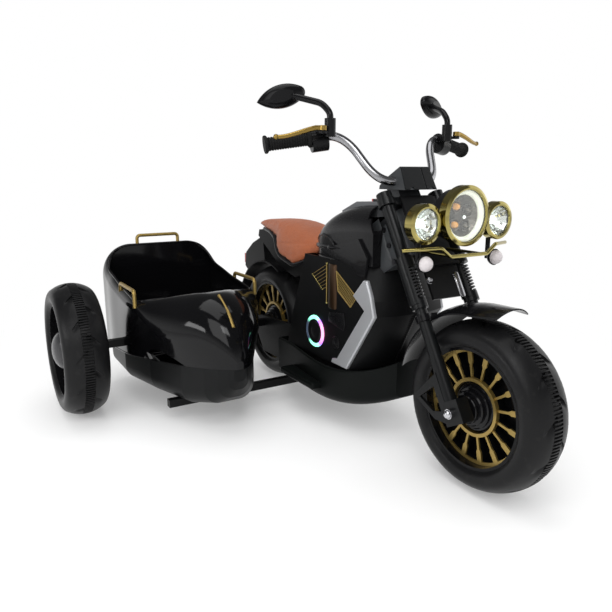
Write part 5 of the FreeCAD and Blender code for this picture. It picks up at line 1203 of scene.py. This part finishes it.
def makeCowl():
    look = cowlLook
    for name, side in sides:
        rows = []
        for s in shares(24):
            x = look["front"] + (look["rear"] - look["front"]) * s
            row = []
            for t in shares(12):
                blunt = min(1.0, math.sin(math.pi * t) * look["blunt"])
                lift = look["edge"] + look["swell"] * math.sin(math.pi * s) ** 0.7 * blunt
                z = look["low"] + (look["high"] - look["low"]) * t
                row.append(forkPlace(x, side * (look["half"] + lift), z))
            rows.append(row)
        Shape().skin(rows).piece(name + "CowlCover", "cowl_plastic", "frame", "cowl_plastic", 50)


makeCowl()

# fork front: a chrome strip and nut on the panel between the legs
forkLook = {"panel": 8.4, "nutAt": (-44, 270), "strip": (36, 226, 282), "stripHalf": (5.0, 8.0),
            "stripOut": 3.4,
            "nut": [(8, 0), (8, 1.4), (6.6, 1.8), (6.6, 5.4), (5.2, 6.6), (3, 8.6), (0, 9.2)]}


def makeForkTrim():
    look = forkLook
    forward = (forkPlace(1, 0, 0) - forkPlace(0, 0, 0)).normalized()
    nut = Shape().lathe(forkPlace(look["panel"] - 0.4, *look["nutAt"]), forward, look["nut"], 6)
    nut.piece("forkPanelNut", "bar_chrome", "steering", "bar_chrome", 40)
    y, low, high = look["strip"]
    end, full = look["stripHalf"]
    base, rows = look["panel"] - 0.3, []
    for z, wide in ((low, end), (low + 3, full), (high - 3, full), (high, end)):
        rows.append([forkPlace(base + look["stripOut"] * math.sin(a), y + wide * math.cos(a), z)
                     for a in halfCircle(10)])
    strip = Shape().skin(rows, ring=True, caps=True)
    strip.piece("forkPanelStrip", "bar_chrome", "steering", "bar_chrome", 40)


makeForkTrim()

# fork springs: open coils wound evenly along the fork legs
springLook = {"back": -9.0, "out": 74.0, "low": 237.0, "high": 305.0, "mean": 15.0, "wire": 1.9, "clear": 0.3,
              "turns": 9, "travel": 20.0}


def makeSprings():
    look = springLook
    up = (forkPlace(0, 0, 1) - forkPlace(0, 0, 0)).normalized()
    clear, long = look["wire"] + look["clear"], look["high"] - look["low"]
    for name, side in sides:
        path = []
        for s in shares(look["turns"] * 28):
            a = 2 * math.pi * look["turns"] * s
            path.append(forkPlace(look["back"] + look["mean"] * math.cos(a),
                                  side * look["out"] + look["mean"] * math.sin(a),
                                  look["low"] + clear + (long - 2 * clear) * s))
        coil = Shape().tube(path, look["wire"], 12)
        steel = "spring_steel"
        spring = coil.piece(name + "ForkSpring", steel, "steering", steel, 60, ["fork_springs"])
        top = forkPlace(look["back"], side * look["out"], look["high"])
        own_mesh(spring)


makeSprings()
print("fork trim and springs")

# floor, light and the photograph's view
stageLook = {"floor": (0.97, 0.97, 0.97), "reach": 14.0, "bare": (0.5, 1.5, 0.25, 1.0), "sheen": 0.3,
             "ambient": 0.68, "ceiling": 0.14, "ceilingFrom": 0.5, "aim": (300, -200, 150)}
lightLook = {"keyLight": (40.0, 2.4, 2.4, (2400, -1900, 2500)),  # power, width, height and place
             "fillLight": (14.0, 2.0, 2.0, (1200, 2600, 1500)),
             "topLight": (26.0, 2.2, 2.2, (100, -300, 3000)),
             "sideStrip": (5.0, 0.75, 0.3, (420, -1880, 700)),
             "frontStrip": (2.5, 0.5, 0.3, (1290, -420, 1210))}
viewLook = {"lens": 34.88, "sensor": 36.0, "clip": (0.05, 60.0), "eye": (1618.5, -888.7, 456.5),
            "aim": (299.47, -93.05, 110.85)}


def addObject(name, data, eye=None, aim=None):
    obj = bpy.data.objects.new(name, data)
    scene.collection.objects.link(obj)
    if eye:
        obj.location = eye
        obj.rotation_euler = (aim - eye).to_track_quat("-Z", "Y").to_euler()
    return obj


def makeFloor():
    look, reach = stageLook, stageLook["reach"]
    mesh = bpy.data.meshes.new("studioFloor")
    corners = [(-reach, -reach, 0), (reach, -reach, 0), (reach, reach, 0), (-reach, reach, 0)]
    mesh.from_pydata(corners, [], [(0, 1, 2, 3)])
    floor = addObject("studioFloor", mesh)
    make = Finish("floorPaper")
    spot = make.spot()
    tone = make.mix(make.noise(spot, 1.5, 3.0), look["floor"], tinted(look["floor"], 0.985))
    shade = make.node("ShaderNodeBsdfDiffuse", None, {"Color": tone})
    white = make.node("ShaderNodeEmission", None, {"Color": (1, 1, 1, 1), "Strength": 1.0})
    far = make.node("ShaderNodeVectorMath", {"operation": "LENGTH"}, {0: spot}, "Value")
    bare = make.smooth(far, *look["bare"])  # the paper turns plain white away from the bike
    bright = make.ray("Is Camera Ray") * bare + make.ray("Is Glossy Ray") * look["sheen"]
    lit = make.blend(bright, shade, white)
    make.node("ShaderNodeOutputMaterial", None, {"Surface": lit})
    mesh.materials.append(make.material)


def makeLight():
    look = stageLook
    scene.world = bpy.data.worlds.new("studio")
    air = Finish("studio", scene.world)
    white, dim, plain = (air.node("ShaderNodeBackground", None, {"Color": (1, 1, 1, 1), "Strength": level})
                         for level in (1.0, look["ceiling"], look["ambient"]))
    height = air.part(air.node("ShaderNodeTexCoord", None, None, "Generated"), 2)
    climb = air.smooth(height, 0.0, look["ceilingFrom"])
    above = air.blend(climb, white, dim)  # reflections see a dim ceiling
    lit = air.blend(air.ray("Is Glossy Ray"), plain, above)
    back = air.blend(air.ray("Is Camera Ray") + air.ray("Is Transmission Ray"), lit, white)
    air.node("ShaderNodeOutputWorld", None, {"Surface": back})
    for name, (power, wide, tall, eye) in lightLook.items():
        data = bpy.data.lights.new(name, "AREA")
        data.energy, data.shape, data.size, data.size_y = power, "RECTANGLE", wide, tall
        addObject(name, data, place(*eye), place(*look["aim"]))


def makeCamera():
    data = bpy.data.cameras.new("photoView")
    data.lens, data.sensor_width = viewLook["lens"], viewLook["sensor"]
    data.clip_start, data.clip_end = viewLook["clip"]
    scene.camera = addObject("photoView", data, place(*viewLook["eye"]), place(*viewLook["aim"]))


makeFloor()
makeLight()
makeCamera()
scene.view_settings.view_transform = "Standard"
print("stage and view")
